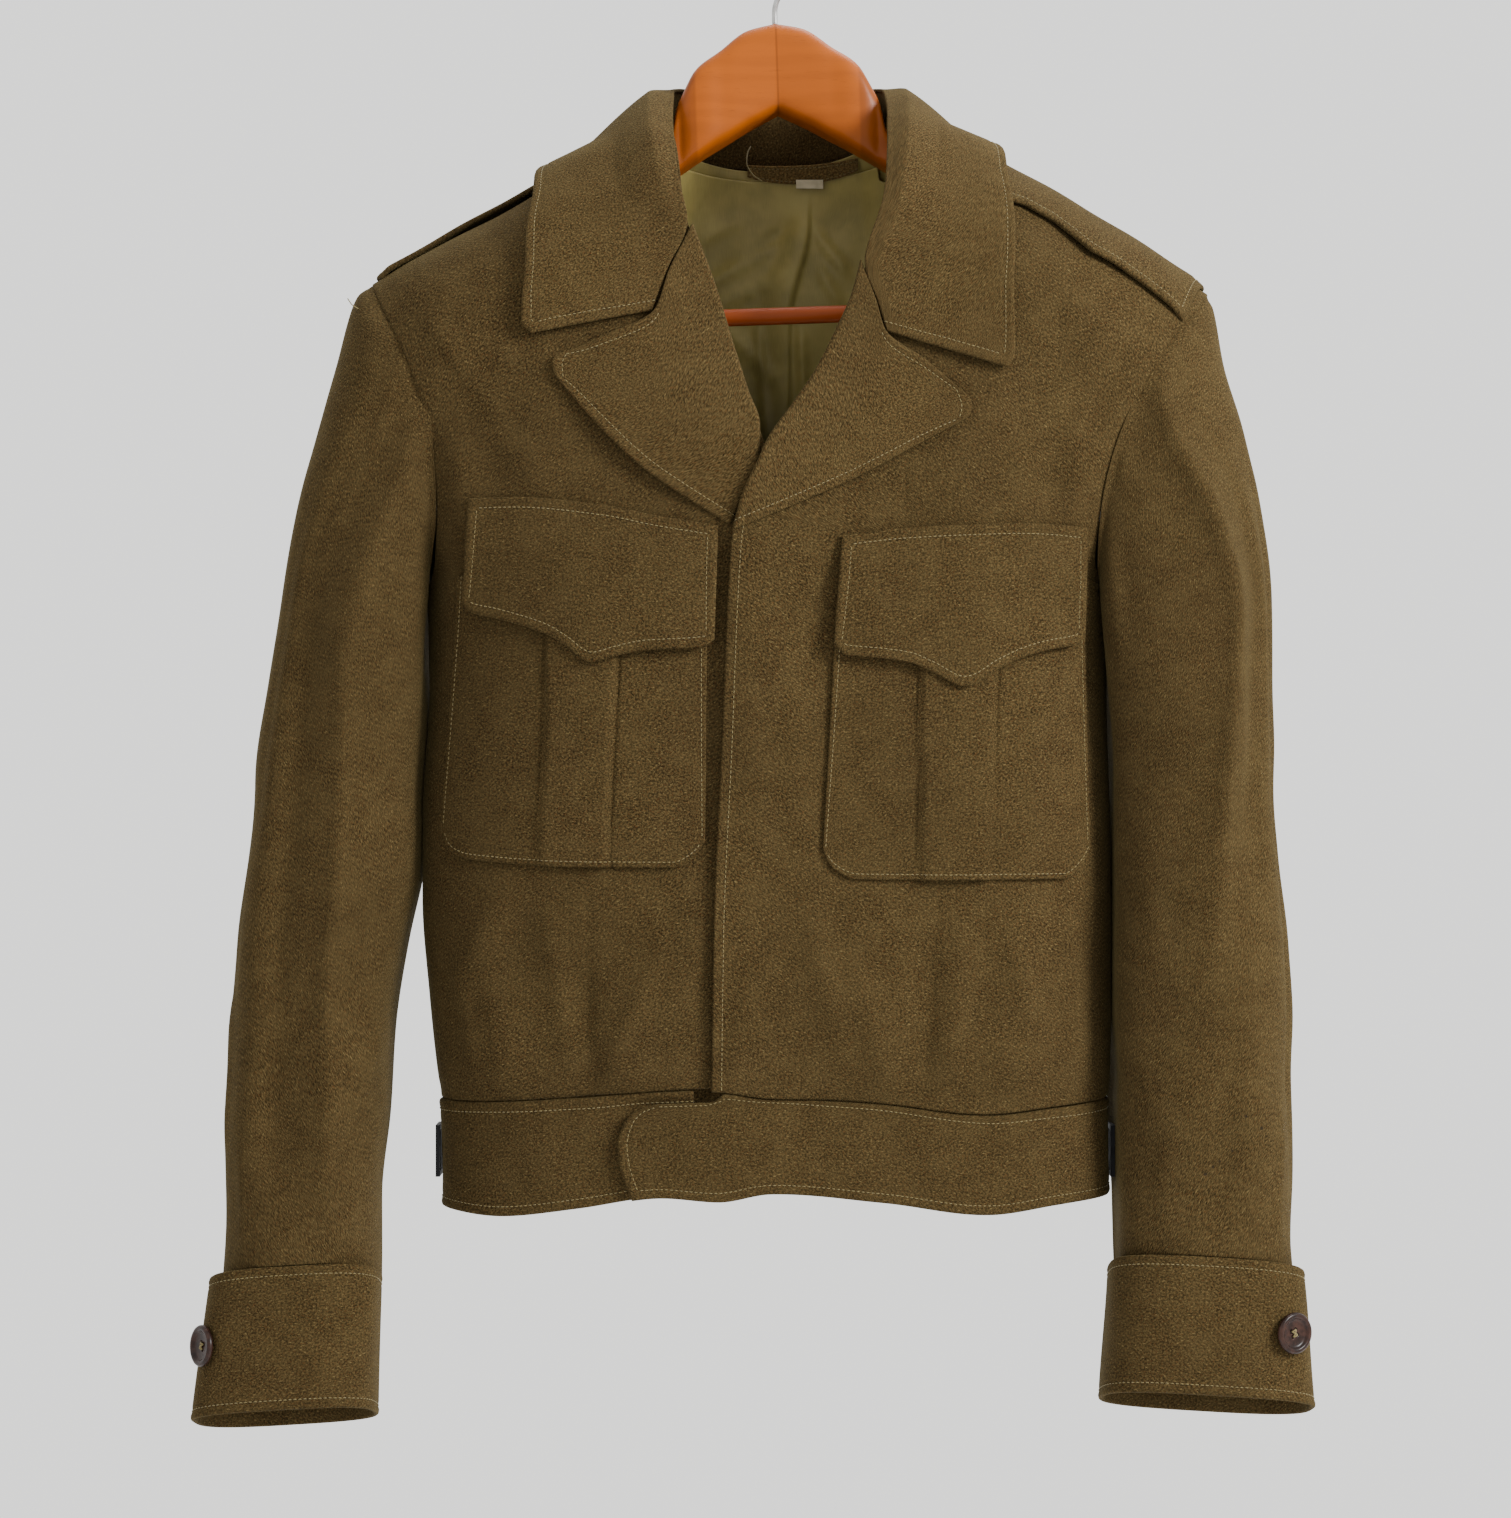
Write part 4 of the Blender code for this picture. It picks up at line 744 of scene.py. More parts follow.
# Pockets: corners and lines seen from the front, and the flap's lower edge
POCKETS = {
    "right": dict(
        top=[(-171, -342), (-147, -342), (-94, -347), (-64, -353), (-30, -358.5)],
        flap=[(-175, -400), (-170, -406), (-154, -410), (-127, -418.5), (-115, -425.5),
              (-101, -434.5), (-87, -431), (-71.5, -428), (-39, -426), (-32, -422)],
        body_top=[(-178, -384), (-36, -396)],
        body_low=[(-189, -528), (-184, -541), (-172, -546), (-110, -549.5), (-56, -550),
                  (-44, -544), (-37.5, -535)],
        pleat=[(-124.8, -84.5), (-131, -93.5)],
    ),
    "left": dict(
        top=[(39, -364), (73, -360), (116, -357.5), (144.5, -356.5), (179, -357.5)],
        flap=[(34.5, -424), (41, -430.5), (62, -432.5), (77, -434.7), (90, -440),
              (107.5, -448), (127, -438), (140, -432), (153, -428), (172, -424), (178, -420)],
        body_top=[(36, -402), (178, -396)],
        body_low=[(28.5, -540), (34, -550), (48, -556.5), (110, -557), (166, -557),
                  (177, -549), (182, -540)],
        pleat=[(82.4, 126.6), (84, 122.7)],
    ),
}

POCKET_LIFT = POCKET_CLOTH + LAY_GAP
FLAP_LIFT = DOUBLE_CLOTH + LAY_GAP / 2


# Shoulder straps: from the armhole to under the collar, before and behind the ridge
STRAPS = {
    "shoulder_strap_right": dict(tip=-230.0, neck=-104.0, before=-12.0, behind=34.0),
    "shoulder_strap_left": dict(tip=252.0, neck=104.0, before=-38.0, behind=10.0),
}


# The tab's end, seen from the front: how far in the band is cut at each height share
TAB_END = table(
    "share cut",
    (0.0, 23),
    (0.08, 9),
    (0.2, 3),
    (0.4, 0),
    (0.6, 1),
    (0.8, 4),
    (1.0, 8),
)

TAB_REACH = -87.0
BAND_END = -44.0


def tab_rise(x):
    """The left band stands off the right one where it laps over it."""
    return 5.0 * ease((20 - x) / 50)


# The hanger by distance from its middle: upper and lower edge, middle and thickness
HANGER = table(
    "along top bottom depth thick",
    (0, -60, -111, 9, 32),
    (16, -63.5, -119, 9, 33),
    (30, -73, -127, 9, 34),
    (42, -85, -134, 8, 34),
    (50, -99, -139, 8, 33),
    (54.5, -109, -142, 8, 31),
    (58, -125, -144.5, 7, 27),
    (66, -128, -150, 6, 26),
    (100, -141.7, -171, 3, 27),
    (150, -169.7, -205, 0, 26),
    (190, -194.3, -235, -2, 25),
    (208, -210, -241, -3, 22),
    (216, -219, -240, -3, 14),
)

BAR_HEIGHT = -231.0


def tilt(points):
    """Hang the hanger at its slight tilt about the inside of the hook."""
    x, z = points[..., 0].copy(), points[..., 2].copy()
    turned = points.copy()
    turned[..., 0] = x * math.cos(HANGER_TILT) - z * math.sin(HANGER_TILT)
    turned[..., 2] = z * math.cos(HANGER_TILT) + x * math.sin(HANGER_TILT)
    return turned


def tighten(grid, closed):
    """Add rows and columns 0.5 and 1.4 mm inside a grid's borders, for a soft rim."""
    for axis in (0,) if closed else (0, 1):
        lines = np.moveaxis(grid, axis, 0)
        parts = [lines[:1]]
        for near, far in ((0, 1), (-1, -2)):
            step = lines[far] - lines[near]
            size = np.linalg.norm(step[..., :3], axis=-1).mean()
            added = [lines[near] + step * min(inset / size, 0.3 + 0.02 * inset)
                     for inset in (0.5, 1.4)]
            if near == 0:
                parts += [added[0][None], added[1][None], lines[1:-1]]
            else:
                parts += [added[1][None], added[0][None], lines[-1:]]
        grid = np.moveaxis(np.concatenate(parts), 0, axis)
    return grid


def arcs(grid, axis):
    """Lengths along a grid's lines from their first points."""
    step = np.linalg.norm(np.diff(grid, axis=axis), axis=-1)
    pad = [(0, 0), (0, 0)]
    pad[axis] = (1, 0)
    return np.pad(np.cumsum(step, axis=axis), pad)


def border_distances(grid, closed):
    """Distance of each point from the top, bottom, left and right borders."""
    down = arcs(grid, 0)
    found = {"top": down, "bottom": down[-1:] - down}
    if not closed:
        along = arcs(grid, 1)
        found.update(left=along, right=along[:, -1:] - along)
    return found


def at_distance(values, reach, distance):
    """Read lines of values where their reach first passes a distance."""
    place = np.clip((reach < distance).sum(axis=0) - 1, 0, len(reach) - 2)
    line = np.arange(reach.shape[1])
    low, high = reach[place, line], reach[place + 1, line]
    share = np.clip((distance - low) / np.maximum(high - low, 1e-9), 0, 1)[:, None]
    return values[place, line] * (1 - share) + values[place + 1, line] * share


def stitch_paths(grid, normal, closed, borders, inset, free):
    """Points and normals at an inset from the free parts of the named borders, cut where they meet."""
    far = border_distances(grid, closed)
    paths = []
    for border in borders:
        reach, points, facing = far[border], grid, normal
        others = [far[other] for other in borders if other != border]
        if border in ("left", "right"):
            reach, points, facing = reach.T, grid.swapaxes(0, 1), normal.swapaxes(0, 1)
            others = [other.T for other in others]
        if border in ("bottom", "right"):
            reach, points, facing = reach[::-1], points[::-1], facing[::-1]
            others = [other[::-1] for other in others]
        line = at_distance(points, reach, inset)
        face = at_distance(facing, reach, inset)
        keep = free(line[:, 0], line[:, 2]) > 0.5
        for other in others:
            keep &= at_distance(other[..., None], reach, inset)[:, 0] >= inset * 0.98
        if keep.sum() > 3:
            paths.append((line[keep], face[keep]))
    return paths


def stitches(name, paths):
    """Short rounded dashes of thread along paths, each a six-sided spindle of three rings."""
    starts = []
    for line, face in paths:
        run = np.concatenate([[0], np.cumsum(np.linalg.norm(np.diff(line, axis=0), axis=1))])
        at = np.arange(STITCH_PITCH / 2, run[-1], STITCH_PITCH)
        if len(at) == 0:
            continue
        point, ahead, behind, out = (
            np.stack([np.interp(at + shift, run, values[:, k]) for k in range(3)], axis=-1)
            for shift, values in ((0, line), (0.5, line), (-0.5, line), (0, face)))
        starts.append(np.concatenate([point, ahead - behind, out], axis=1))
    data = np.concatenate(starts)
    point, along, out = data[:, :3], unit(data[:, 3:6]), unit(data[:, 6:])
    across = unit(np.cross(along, out))
    out = np.cross(across, along)
    angle = np.arange(6) / 6 * 2 * math.pi
    circle = np.cos(angle)[:, None, None] * across + np.sin(angle)[:, None, None] * out
    rings = []
    for share, wide, high in ((-0.5, 0.45, -0.25), (-0.2, 1.0, 0.1), (0.2, 1.0, 0.1), (0.5, 0.45, -0.25)):
        middle = point + along * share * STITCH_LENGTH + out * (STITCH_LIFT + high)
        rings.append(middle + circle * STITCH_RADIUS * wide)
    rings = np.array(rings)
    count = len(point)
    points = rings.transpose(2, 0, 1, 3).reshape(-1, 3)
    ring = np.arange(6)
    after = (ring + 1) % 6
    quads = [np.stack([low + ring, low + after, low + 6 + after, low + 6 + ring], -1) for low in (0, 6, 12)]
    ends = [[5, 4, 3, 2], [5, 2, 1, 0], [18, 19, 20, 21], [18, 21, 22, 23]]
    one = np.concatenate(quads + [np.array(ends)])
    faces = (one[None] + 24 * np.arange(count)[:, None, None]).reshape(-1, 4)
    return solid(name, points, faces, [FINISH["thread"]])


def unit(vector):
    """Vectors of length one."""
    return vector / np.maximum(np.linalg.norm(vector, axis=-1, keepdims=True), 1e-12)


def swept(corner):
    """Six times the volume that faces enclose, from their corners; negative when they face in."""
    return sum(np.einsum("ij,ij->", corner[:, 0], np.cross(corner[:, k], corner[:, k + 1]))
               for k in range(1, corner.shape[1] - 1))


def solid(name, points, faces, materials, which=None, uv=None):
    """Turn points in millimetres and faces into a mesh object with its materials."""
    mesh = bpy.data.meshes.new(name)
    faces = np.asarray(faces)
    points = np.asarray(points) * MM
    corner = points[faces]
    if swept(corner) < 0:
        faces = faces[:, ::-1]
    mesh.from_pydata(points.tolist(), [], faces.tolist())
    if which is not None:
        mesh.polygons.foreach_set("material_index", np.asarray(which, np.int32))
    if uv is not None:
        layer = mesh.uv_layers.new(name="surface")
        corners = np.empty(len(mesh.loops), np.int32)
        mesh.loops.foreach_get("vertex_index", corners)
        layer.data.foreach_set("uv", (np.asarray(uv)[corners] * MM).ravel())
    mesh.shade_smooth()
    for material in materials:
        mesh.materials.append(material)
    mesh.update()
    item = bpy.data.objects.new(name, mesh)
    bpy.context.collection.objects.link(item)
    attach(item, "root")
    return item


def shell(name, outer, inward, thickness, materials, closed=False):
    """A closed wall of cloth: outer and inner grids that draw together at a soft rim."""
    far = border_distances(outer, closed)
    near = np.minimum.reduce(list(far.values()))
    half = thickness / 2
    plump = np.sqrt(1 - (1 - np.clip(near / (1.1 * half), 0, 1)) ** 2 * 0.9)
    middle = outer + inward * half
    front = middle - inward * (half * plump)[..., None]
    behind = middle + inward * (half * plump)[..., None]
    rows, columns = outer.shape[:2]
    points = np.concatenate([front.reshape(-1, 3), behind.reshape(-1, 3)])
    index = np.arange(rows * columns).reshape(rows, columns)
    if closed:
        index = np.concatenate([index, index[:, :1]], axis=1)
    back = index + rows * columns
    a, b, c, d = index[:-1, :-1], index[:-1, 1:], index[1:, 1:], index[1:, :-1]
    faces = [np.stack([a, b, c, d], -1).reshape(-1, 4)]
    size = rows * columns
    faces.append(faces[0][:, ::-1] + size)
    kinds = [np.zeros(len(faces[0])), np.ones(len(faces[0]))]
    rims = [(index[0, 1:], index[0, :-1], back[0, :-1], back[0, 1:]),
            (index[-1, :-1], index[-1, 1:], back[-1, 1:], back[-1, :-1])]
    if not closed:
        rims.append((index[:-1, 0], index[1:, 0], back[1:, 0], back[:-1, 0]))
        rims.append((index[1:, -1], index[:-1, -1], back[:-1, -1], back[1:, -1]))
    for rim in rims:
        faces.append(np.stack(rim, -1))
        kinds.append(np.zeros(len(rim[0])))
    across, down = arcs(outer, 1), arcs(outer, 0)
    across = across - across[:, columns // 2:columns // 2 + 1]
    uv = np.stack([across, down], axis=-1).reshape(-1, 2)
    kinds = np.concatenate(kinds)
    return solid(name, points, np.concatenate(faces), materials, kinds, np.concatenate([uv, uv + 3.1]))


def everywhere(x, z):
    """A share of one at every place."""
    return np.ones(np.broadcast(x, z).shape)


def sew(name, outer, inward, thickness, nodes, slot="wool", inside="satin", closed=False,
        borders=(), inset=6.0, depth=0.4, free=everywhere, rests=()):
    """A piece of cloth with its rows of stitching, in place of its plain solid."""
    both = tighten(np.concatenate([outer, inward], axis=-1), closed)
    outer, inward = both[..., :3], unit(both[..., 3:])
    far = border_distances(outer, closed)
    if borders:
        near = np.minimum.reduce([far[border] for border in borders])
        groove = -depth * np.exp(-((near - inset) / 1.3) ** 2)
        puff = 0.28 * np.sin(math.pi * np.clip(near / inset, 0, 1))
        outer = outer - inward * ((groove + puff) * free(outer[..., 0], outer[..., 2]))[..., None]
    item = shell(name, outer, inward, thickness, [FINISH[slot], FINISH[inside]], closed)
    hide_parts(*nodes)
    wide = arcs(outer, 1)[:, -1].max()
    if closed:
        wide = (wide + np.linalg.norm(outer[:, 0] - outer[:, -1], axis=-1)).max()
    tall = arcs(outer, 0)[-1].max()
    if borders:
        paths = stitch_paths(outer, -inward, closed, borders, inset, free)
        row = stitches(name + "_stitches", paths)
    area = sheet_area(item) / 2
    flat = (max(wide * MM, 0.0101), max(tall * MM, 0.0101))
    min(max(area, 0.301 * flat[0] * flat[1]), flat[0] * flat[1])
    return outer, inward


def sheet_area(item):
    """Area of a mesh's faces."""
    area = np.empty(len(item.data.polygons))
    item.data.polygons.foreach_get("area", area)
    return float(area.sum())


def unevenness(x, z, size=0.55):
    """Sum of slow waves of unlike lengths, for cloth that is nowhere quite flat."""
    waves = (
        (0.041, 0.013, 0.4, 1.0),
        (-0.022, 0.052, 1.9, 0.9),
        (0.075, 0.031, 3.3, 0.55),
        (0.014, -0.083, 5.2, 0.5),
        (-0.112, 0.064, 0.9, 0.28),
        (0.093, 0.121, 2.7, 0.22),
    )
    total = 0.0
    for a, b, phase, height in waves:
        total = total + height * np.sin(a * x + b * z + phase)
    return size * total


def cloth_rise(x, z, face):
    """Creases and unevenness of a panel's cloth, dying out at its armholes and side seams."""
    inside = ease((armhole_reach(x, z, face) - np.abs(x)) / 26)
    strength = 1.5 if face < 0 else 1.9
    soft = strength * creased(x, z, face, WRINKLES) + unevenness(x, z)
    return inside * soft + creased(x, z, face, DARTS)


def laid(x, z, face):
    """Points and inward directions of cloth laid on the body with its creases."""
    base, normal = on_body(x, z, face)
    return base + normal * (fold_rise(x, z, face) + cloth_rise(x, z, face))[..., None], -normal


# Creases of the panels, beside the largest folds, and the sewn darts
WRINKLES = table(
    "face from_across from_height to_across to_height width rise",
    (-1, -196, -240, -150, -300, 7, 1.4),
    (-1, -206, -262, -176, -312, 6, -1.2),
    (-1, -170, -300, -120, -338, 8, 1.2),
    (-1, -120, -200, -128, -300, 12, 1.0),
    (-1, 196, -238, 150, -300, 7, 1.4),
    (-1, 200, -262, 176, -318, 6, -1.2),
    (-1, 176, -300, 128, -345, 8, 1.2),
    (-1, 118, -190, 130, -290, 12, 1.0),
    (-1, 150, -210, 168, -268, 8, -1.0),
    (-1, -30, -560, -60, -640, 9, 1.3),
    (-1, -60, -590, -92, -668, 7, 1.5),
    (-1, -128, -570, -112, -660, 8, 1.4),
    (-1, -150, -560, -180, -630, 9, 1.3),
    (-1, -180, -600, -168, -672, 6, 1.4),
    (-1, -20, -600, -34, -676, 6, -1.1),
    (-1, 20, -570, 40, -650, 8, 1.3),
    (-1, 44, -600, 66, -672, 7, 1.5),
    (-1, 110, -575, 100, -668, 8, 1.4),
    (-1, 130, -570, 150, -650, 8, 1.2),
    (-1, 170, -580, 178, -668, 7, 1.5),
    (-1, 2, -420, 24, -560, 10, 0.9),
    (-1, -16, -380, -8, -520, 9, 0.8),
    (1, -120, -170, -60, -260, 14, 1.2),
    (1, 120, -170, 66, -262, 14, 1.2),
    (1, -190, -260, -150, -380, 10, 1.6),
    (1, 190, -260, 150, -382, 10, 1.6),
    (1, -90, -520, -120, -670, 10, 1.6),
    (1, -30, -540, -44, -672, 9, 1.4),
    (1, 52, -530, 66, -670, 9, 1.5),
    (1, 150, -545, 164, -668, 9, 1.5),
    (1, -160, -560, -150, -668, 8, 1.3),
    (1, 4, -150, 0, -420, 7, 0.9),
)
DARTS = table(
    "face from_across from_height to_across to_height width rise",
    (-1, -103, -551, -103, -676, 1.6, -0.9),
    (-1, 94, -559, 87, -676, 1.6, -0.9),
    (-1, 74, -322, 75, -362, 1.6, -0.7),
    (-1, -82, -300, -80, -350, 1.6, -0.6),
    (1, -98, -556, -96, -680, 1.8, -0.9),
    (1, 104, -556, 102, -682, 1.8, -0.9),
)


def make_panel(name, node, places, face, extra_rise=None, **sewing):
    """A front or back from angles and heights on the body, as one sewn sheet."""
    turn, z = places[..., 0], places[..., 1]
    x = across_of(turn, z)
    z = np.minimum(z, read(RIDGE, "height", x) - 0.0004)
    point, inward = laid(x, z, face)
    if extra_rise is not None:
        point = point - inward * extra_rise(x, z)[..., None]
    point[0, :, 1] += face * SEAM_GAP / 2 * (np.abs(inward[0, :, 2]) > 0.5)
    return sew(name, point, inward, CLOTH, [node], **sewing)


def make_fronts():
    """The two fronts, the left one lapping over the right."""
    make_panel("front_right_cloth", "front_right", front_grid(-1, EDGE_RIGHT, 96), -1)
    left = front_grid(1, EDGE_LEFT, 116)
    outer, inward = make_panel("front_left_cloth", "front_left", left, -1, lap)
    far = border_distances(outer, False)["left"]
    line, face = (at_distance(grid.swapaxes(0, 1), far.T, FLY_INSET) for grid in (outer, -inward))
    keep = line[:, 2] < FLY_TOP
    fly = stitches("fly_stitches", [(line[keep], face[keep])])


def make_back():
    """The back in one piece, with the hollow of the neck at its top."""
    rows = (panel_rows(-1)[0] + panel_rows(1)[0]) / 2
    left, right = outer_edge(-1, 1), outer_edge(1, 1)
    neck_left, neck_right, drop = -62.0, 68.0, 19.0
    x = np.concatenate([
        np.linspace(-TIP[-1], neck_left, 46),
        np.linspace(neck_left, neck_right, 42)[1:],
        np.linspace(neck_right, TIP[1], 46)[1:],
    ])
    middle = (x - neck_left) / (neck_right - neck_left)
    hollow = np.sqrt(np.clip(4 * middle * (1 - middle), 0, None))
    line = np.interp(x, [neck_left, neck_right], read(RIDGE, "height", [neck_left, neck_right]))
    inside = (x > neck_left) & (x < neck_right)
    height = np.where(inside, line - drop * hollow, read(RIDGE, "height", x))
    top = np.stack([turn_of(x, height), height], axis=-1)
    turn = np.linspace(left[-1, 0], right[-1, 0], len(x))
    height = read(WAIST, "seam", across_of(turn, WAIST_SEAM)) + WAIST_GAP / 2
    bottom = np.stack([turn, height], axis=-1)
    left[0], right[0], left[-1], right[-1] = top[0], top[-1], bottom[0], bottom[-1]
    places = fill(top, bottom, left, right, rows)
    inner = 1 - np.abs(np.linspace(-1, 1, len(x))) ** 6
    places[..., 1] += inner * (even_heights(places[..., 1]) - places[..., 1])
    make_panel("back_cloth", "back_panel", places, 1)


# Finer creases of the sleeves, read as the large ones are; side 0 stands for both
SLEEVE_WRINKLES = table(
    "side turn top bottom lean width rise",
    (-1, 0.156, -235, -750, 0.080, 0.038, -6.5),
    (-1, 0.222, -240, -740, 0.088, 0.009, 2.8),
    (1, 0.150, -250, -620, 0.110, 0.008, 2.6),
    (1, 0.085, -262, -600, 0.100, 0.034, -4.5),
    (1, 0.030, -290, -760, 0.010, 0.016, 2.4),
    (-1, 0.165, -232, -420, 0.015, 0.012, 1.8),
    (-1, 0.105, -300, -560, 0.010, 0.016, -1.4),
    (-1, 0.280, -330, -420, 0.060, 0.016, 1.3),
    (-1, 0.330, -395, -480, -0.10, 0.018, -1.6),
    (-1, 0.060, -600, -720, 0.020, 0.014, 1.6),
    (-1, 0.020, -630, -760, 0.030, 0.014, -1.8),
    (-1, 0.330, -590, -660, -0.08, 0.016, 1.5),
    (-1, 0.300, -660, -770, 0.030, 0.018, 1.8),
    (-1, 0.390, -700, -785, 0.020, 0.016, -1.6),
    (-1, 0.150, -700, -785, 0.010, 0.016, 1.4),
    (0, 0.620, -400, -520, 0.060, 0.020, 1.6),
    (0, 0.820, -300, -520, -0.03, 0.020, 1.6),
    (0, 0.700, -560, -680, 0.070, 0.022, -1.8),
    (0, 0.880, -600, -760, 0.010, 0.020, 1.5),
    (1, 0.165, -236, -520, 0.030, 0.014, 1.8),
    (1, 0.100, -262, -470, -0.01, 0.014, 1.5),
    (1, 0.060, -300, -560, -0.01, 0.012, -1.6),
    (1, 0.035, -560, -775, -0.005, 0.012, 1.6),
    (1, 0.215, -250, -340, 0.050, 0.012, 1.4),
    (1, 0.300, -360, -450, 0.050, 0.018, -1.5),
    (1, 0.360, -520, -620, -0.05, 0.018, 1.5),
    (1, 0.240, -620, -770, 0.010, 0.020, -1.6),
    (1, 0.310, -690, -780, 0.020, 0.018, 1.6),
    (1, 0.120, -680, -782, 0.010, 0.016, 1.4),
)


def make_sleeve(side, name, node):
    """An open tube from the armhole to the cuff, with its creases."""
    turns = np.arange(2 * ARMHOLE_STEPS) / (2 * ARMHOLE_STEPS)
    ring, away = sleeve_grid(side, turns, 120)
    turn = np.broadcast_to(turns, ring.shape[:2])
    rise = crease_rise(side, turn, ring[..., 2], SLEEVE_WRINKLES, True)
    rise = rise + unevenness(turn * 260, ring[..., 2], 0.5)
    down = np.arange(len(ring))[:, None] / (len(ring) - 1)
    inner = ease((np.cos(2 * math.pi * turn) + 0.75) / 0.5)
    rise = rise * ease(down / 0.06) * ease((1 - down) / 0.04) * (0.15 + 0.85 * inner)
    low, reach = (-505, 75) if side < 0 else (-650, 170)
    near_body = np.exp(-((ring[..., 2] - low) / reach) ** 4 - ((turn - 0.5) / 0.1) ** 2)
    rise = rise + BODY_SWELL * near_body
    ring = ring + rise[..., None] * side_out(ring)
    inward = -grid_normal(ring, True)
    middle = ring.mean(axis=1, keepdims=True)
    if np.sum(inward[8] * (middle - ring)[8]) < 0:
        inward = -inward
    back_part = np.minimum(np.sum(inward[0] * away, axis=-1, keepdims=True), 0)
    inward[0] = inward[0] - away * back_part
    inward[0] /= np.linalg.norm(inward[0], axis=-1, keepdims=True)
    inward[-1] = in_cuff_plane(side, inward[-1])
    ring, inward = np.split(tighten(np.concatenate([ring, inward], axis=-1), True), 2, axis=-1)
    tuck = ease(1 - (arcs(ring, 0) - 2.6) / 5.0)[..., None]
    under = 1 - 0.75 * ease((np.cos(2 * math.pi * turns) - 0.86) / 0.12)[:, None]
    ring = ring + tuck * under * (inward[0] * (CLOTH + TUCK_DEPTH) - away * TUCK_REACH)
    slot = "wool_left_sleeve" if side > 0 else "wool"
    sew(name, ring, inward, CLOTH, [node], slot=slot, closed=True, rests=["back_cloth"])


def make_cuff(side, name, node):
    """A stitched band of doubled cloth round the wrist."""
    turns, shares = np.arange(120) / 120, np.linspace(0, 1, 32)
    grid = cuff_grid(side, turns, shares)
    away = side_out(grid)
    wave = 0.5 * np.sin(turns * 2 * math.pi * 3 + 0.8 * shares[:, None] * 3 + side)
    wave = wave + 0.35 * np.sin(turns * 2 * math.pi * 7 + 2.0 * shares[:, None] + 1.3)
    flare = -1.6 * np.exp(-((turns - 0.93) / 0.05) ** 2) * (1 - shares[:, None])
    height = (wave - flare) * np.sin(math.pi * np.clip(shares, 0.08, 1))[:, None] ** 0.5
    grid = grid + away * height[..., None]
    inward = -grid_normal(grid, True)
    if np.sum(inward[4] * (grid.mean(axis=1, keepdims=True) - grid)[4]) < 0:
        inward = -inward
    inward = unit(in_cuff_plane(side, inward))
    sew(name, grid, inward, BAND_CLOTH, [node], inside="wool", closed=True,
        borders=("top", "bottom"), inset=5.5, rests=["sleeve_" + node[5:] + "_cloth"])


def make_lapel(name, node, shape):
    """A doubled flap that rolls over the front's edge and lies on the front."""
    columns, rows = 56, 60
    places = fill(
        run_of(shape["upper"], columns),
        run_of(shape["low"], columns),
        run_of(shape["roll"], rows),
        run_of(shape["tip"], rows),
    )
    x, z = places[..., 0], places[..., 1]
    share = np.linspace(0, 1, columns)[None, :]
    lift = DOUBLE_CLOTH + SEAM_GAP + 0.3 + 2.0 * np.sin(math.pi * share) ** 2 + 1.6 * share
    lift = lift + 0.5 * np.sin(x * 0.07 + z * 0.05) * share
    if shape["side"] > 0:
        lift = lift + lap(x, z)
    base, normal = on_body(x, z, -1)
    point = base + normal * (lift + fold_rise(x, z, -1))[..., None]
    start = point[:, 0]
    across = unit(point[:, 1] - point[:, 0])
    radius = (DOUBLE_CLOTH + SEAM_GAP + CLOTH) / 2
    angle = np.linspace(math.pi * 0.95, 0, 9)[:-1][None, :, None]
    middle = start - normal[:, 0] * radius
    curl = middle[:, None] + radius * (np.cos(angle) * normal[:, :1] - np.sin(angle) * across[:, None])
    curl_in = -(np.cos(angle) * normal[:, :1] - np.sin(angle) * across[:, None])
    grid = np.concatenate([curl, point], axis=1)
    inward = np.concatenate([curl_in, -normal], axis=1)
    notch = shape["upper"][2][1]
    # The lapels take the lighter collar serge with painted light.
    sew(name, grid, inward, DOUBLE_CLOTH * 0.92, [node], slot="wool_painted_light", inside="wool",
        borders=("top", "bottom", "right"), inset=6.0, free=lambda x, z: ease((notch + 3 - z) / 5),
        rests=["front_" + node[6:] + "_cloth"])


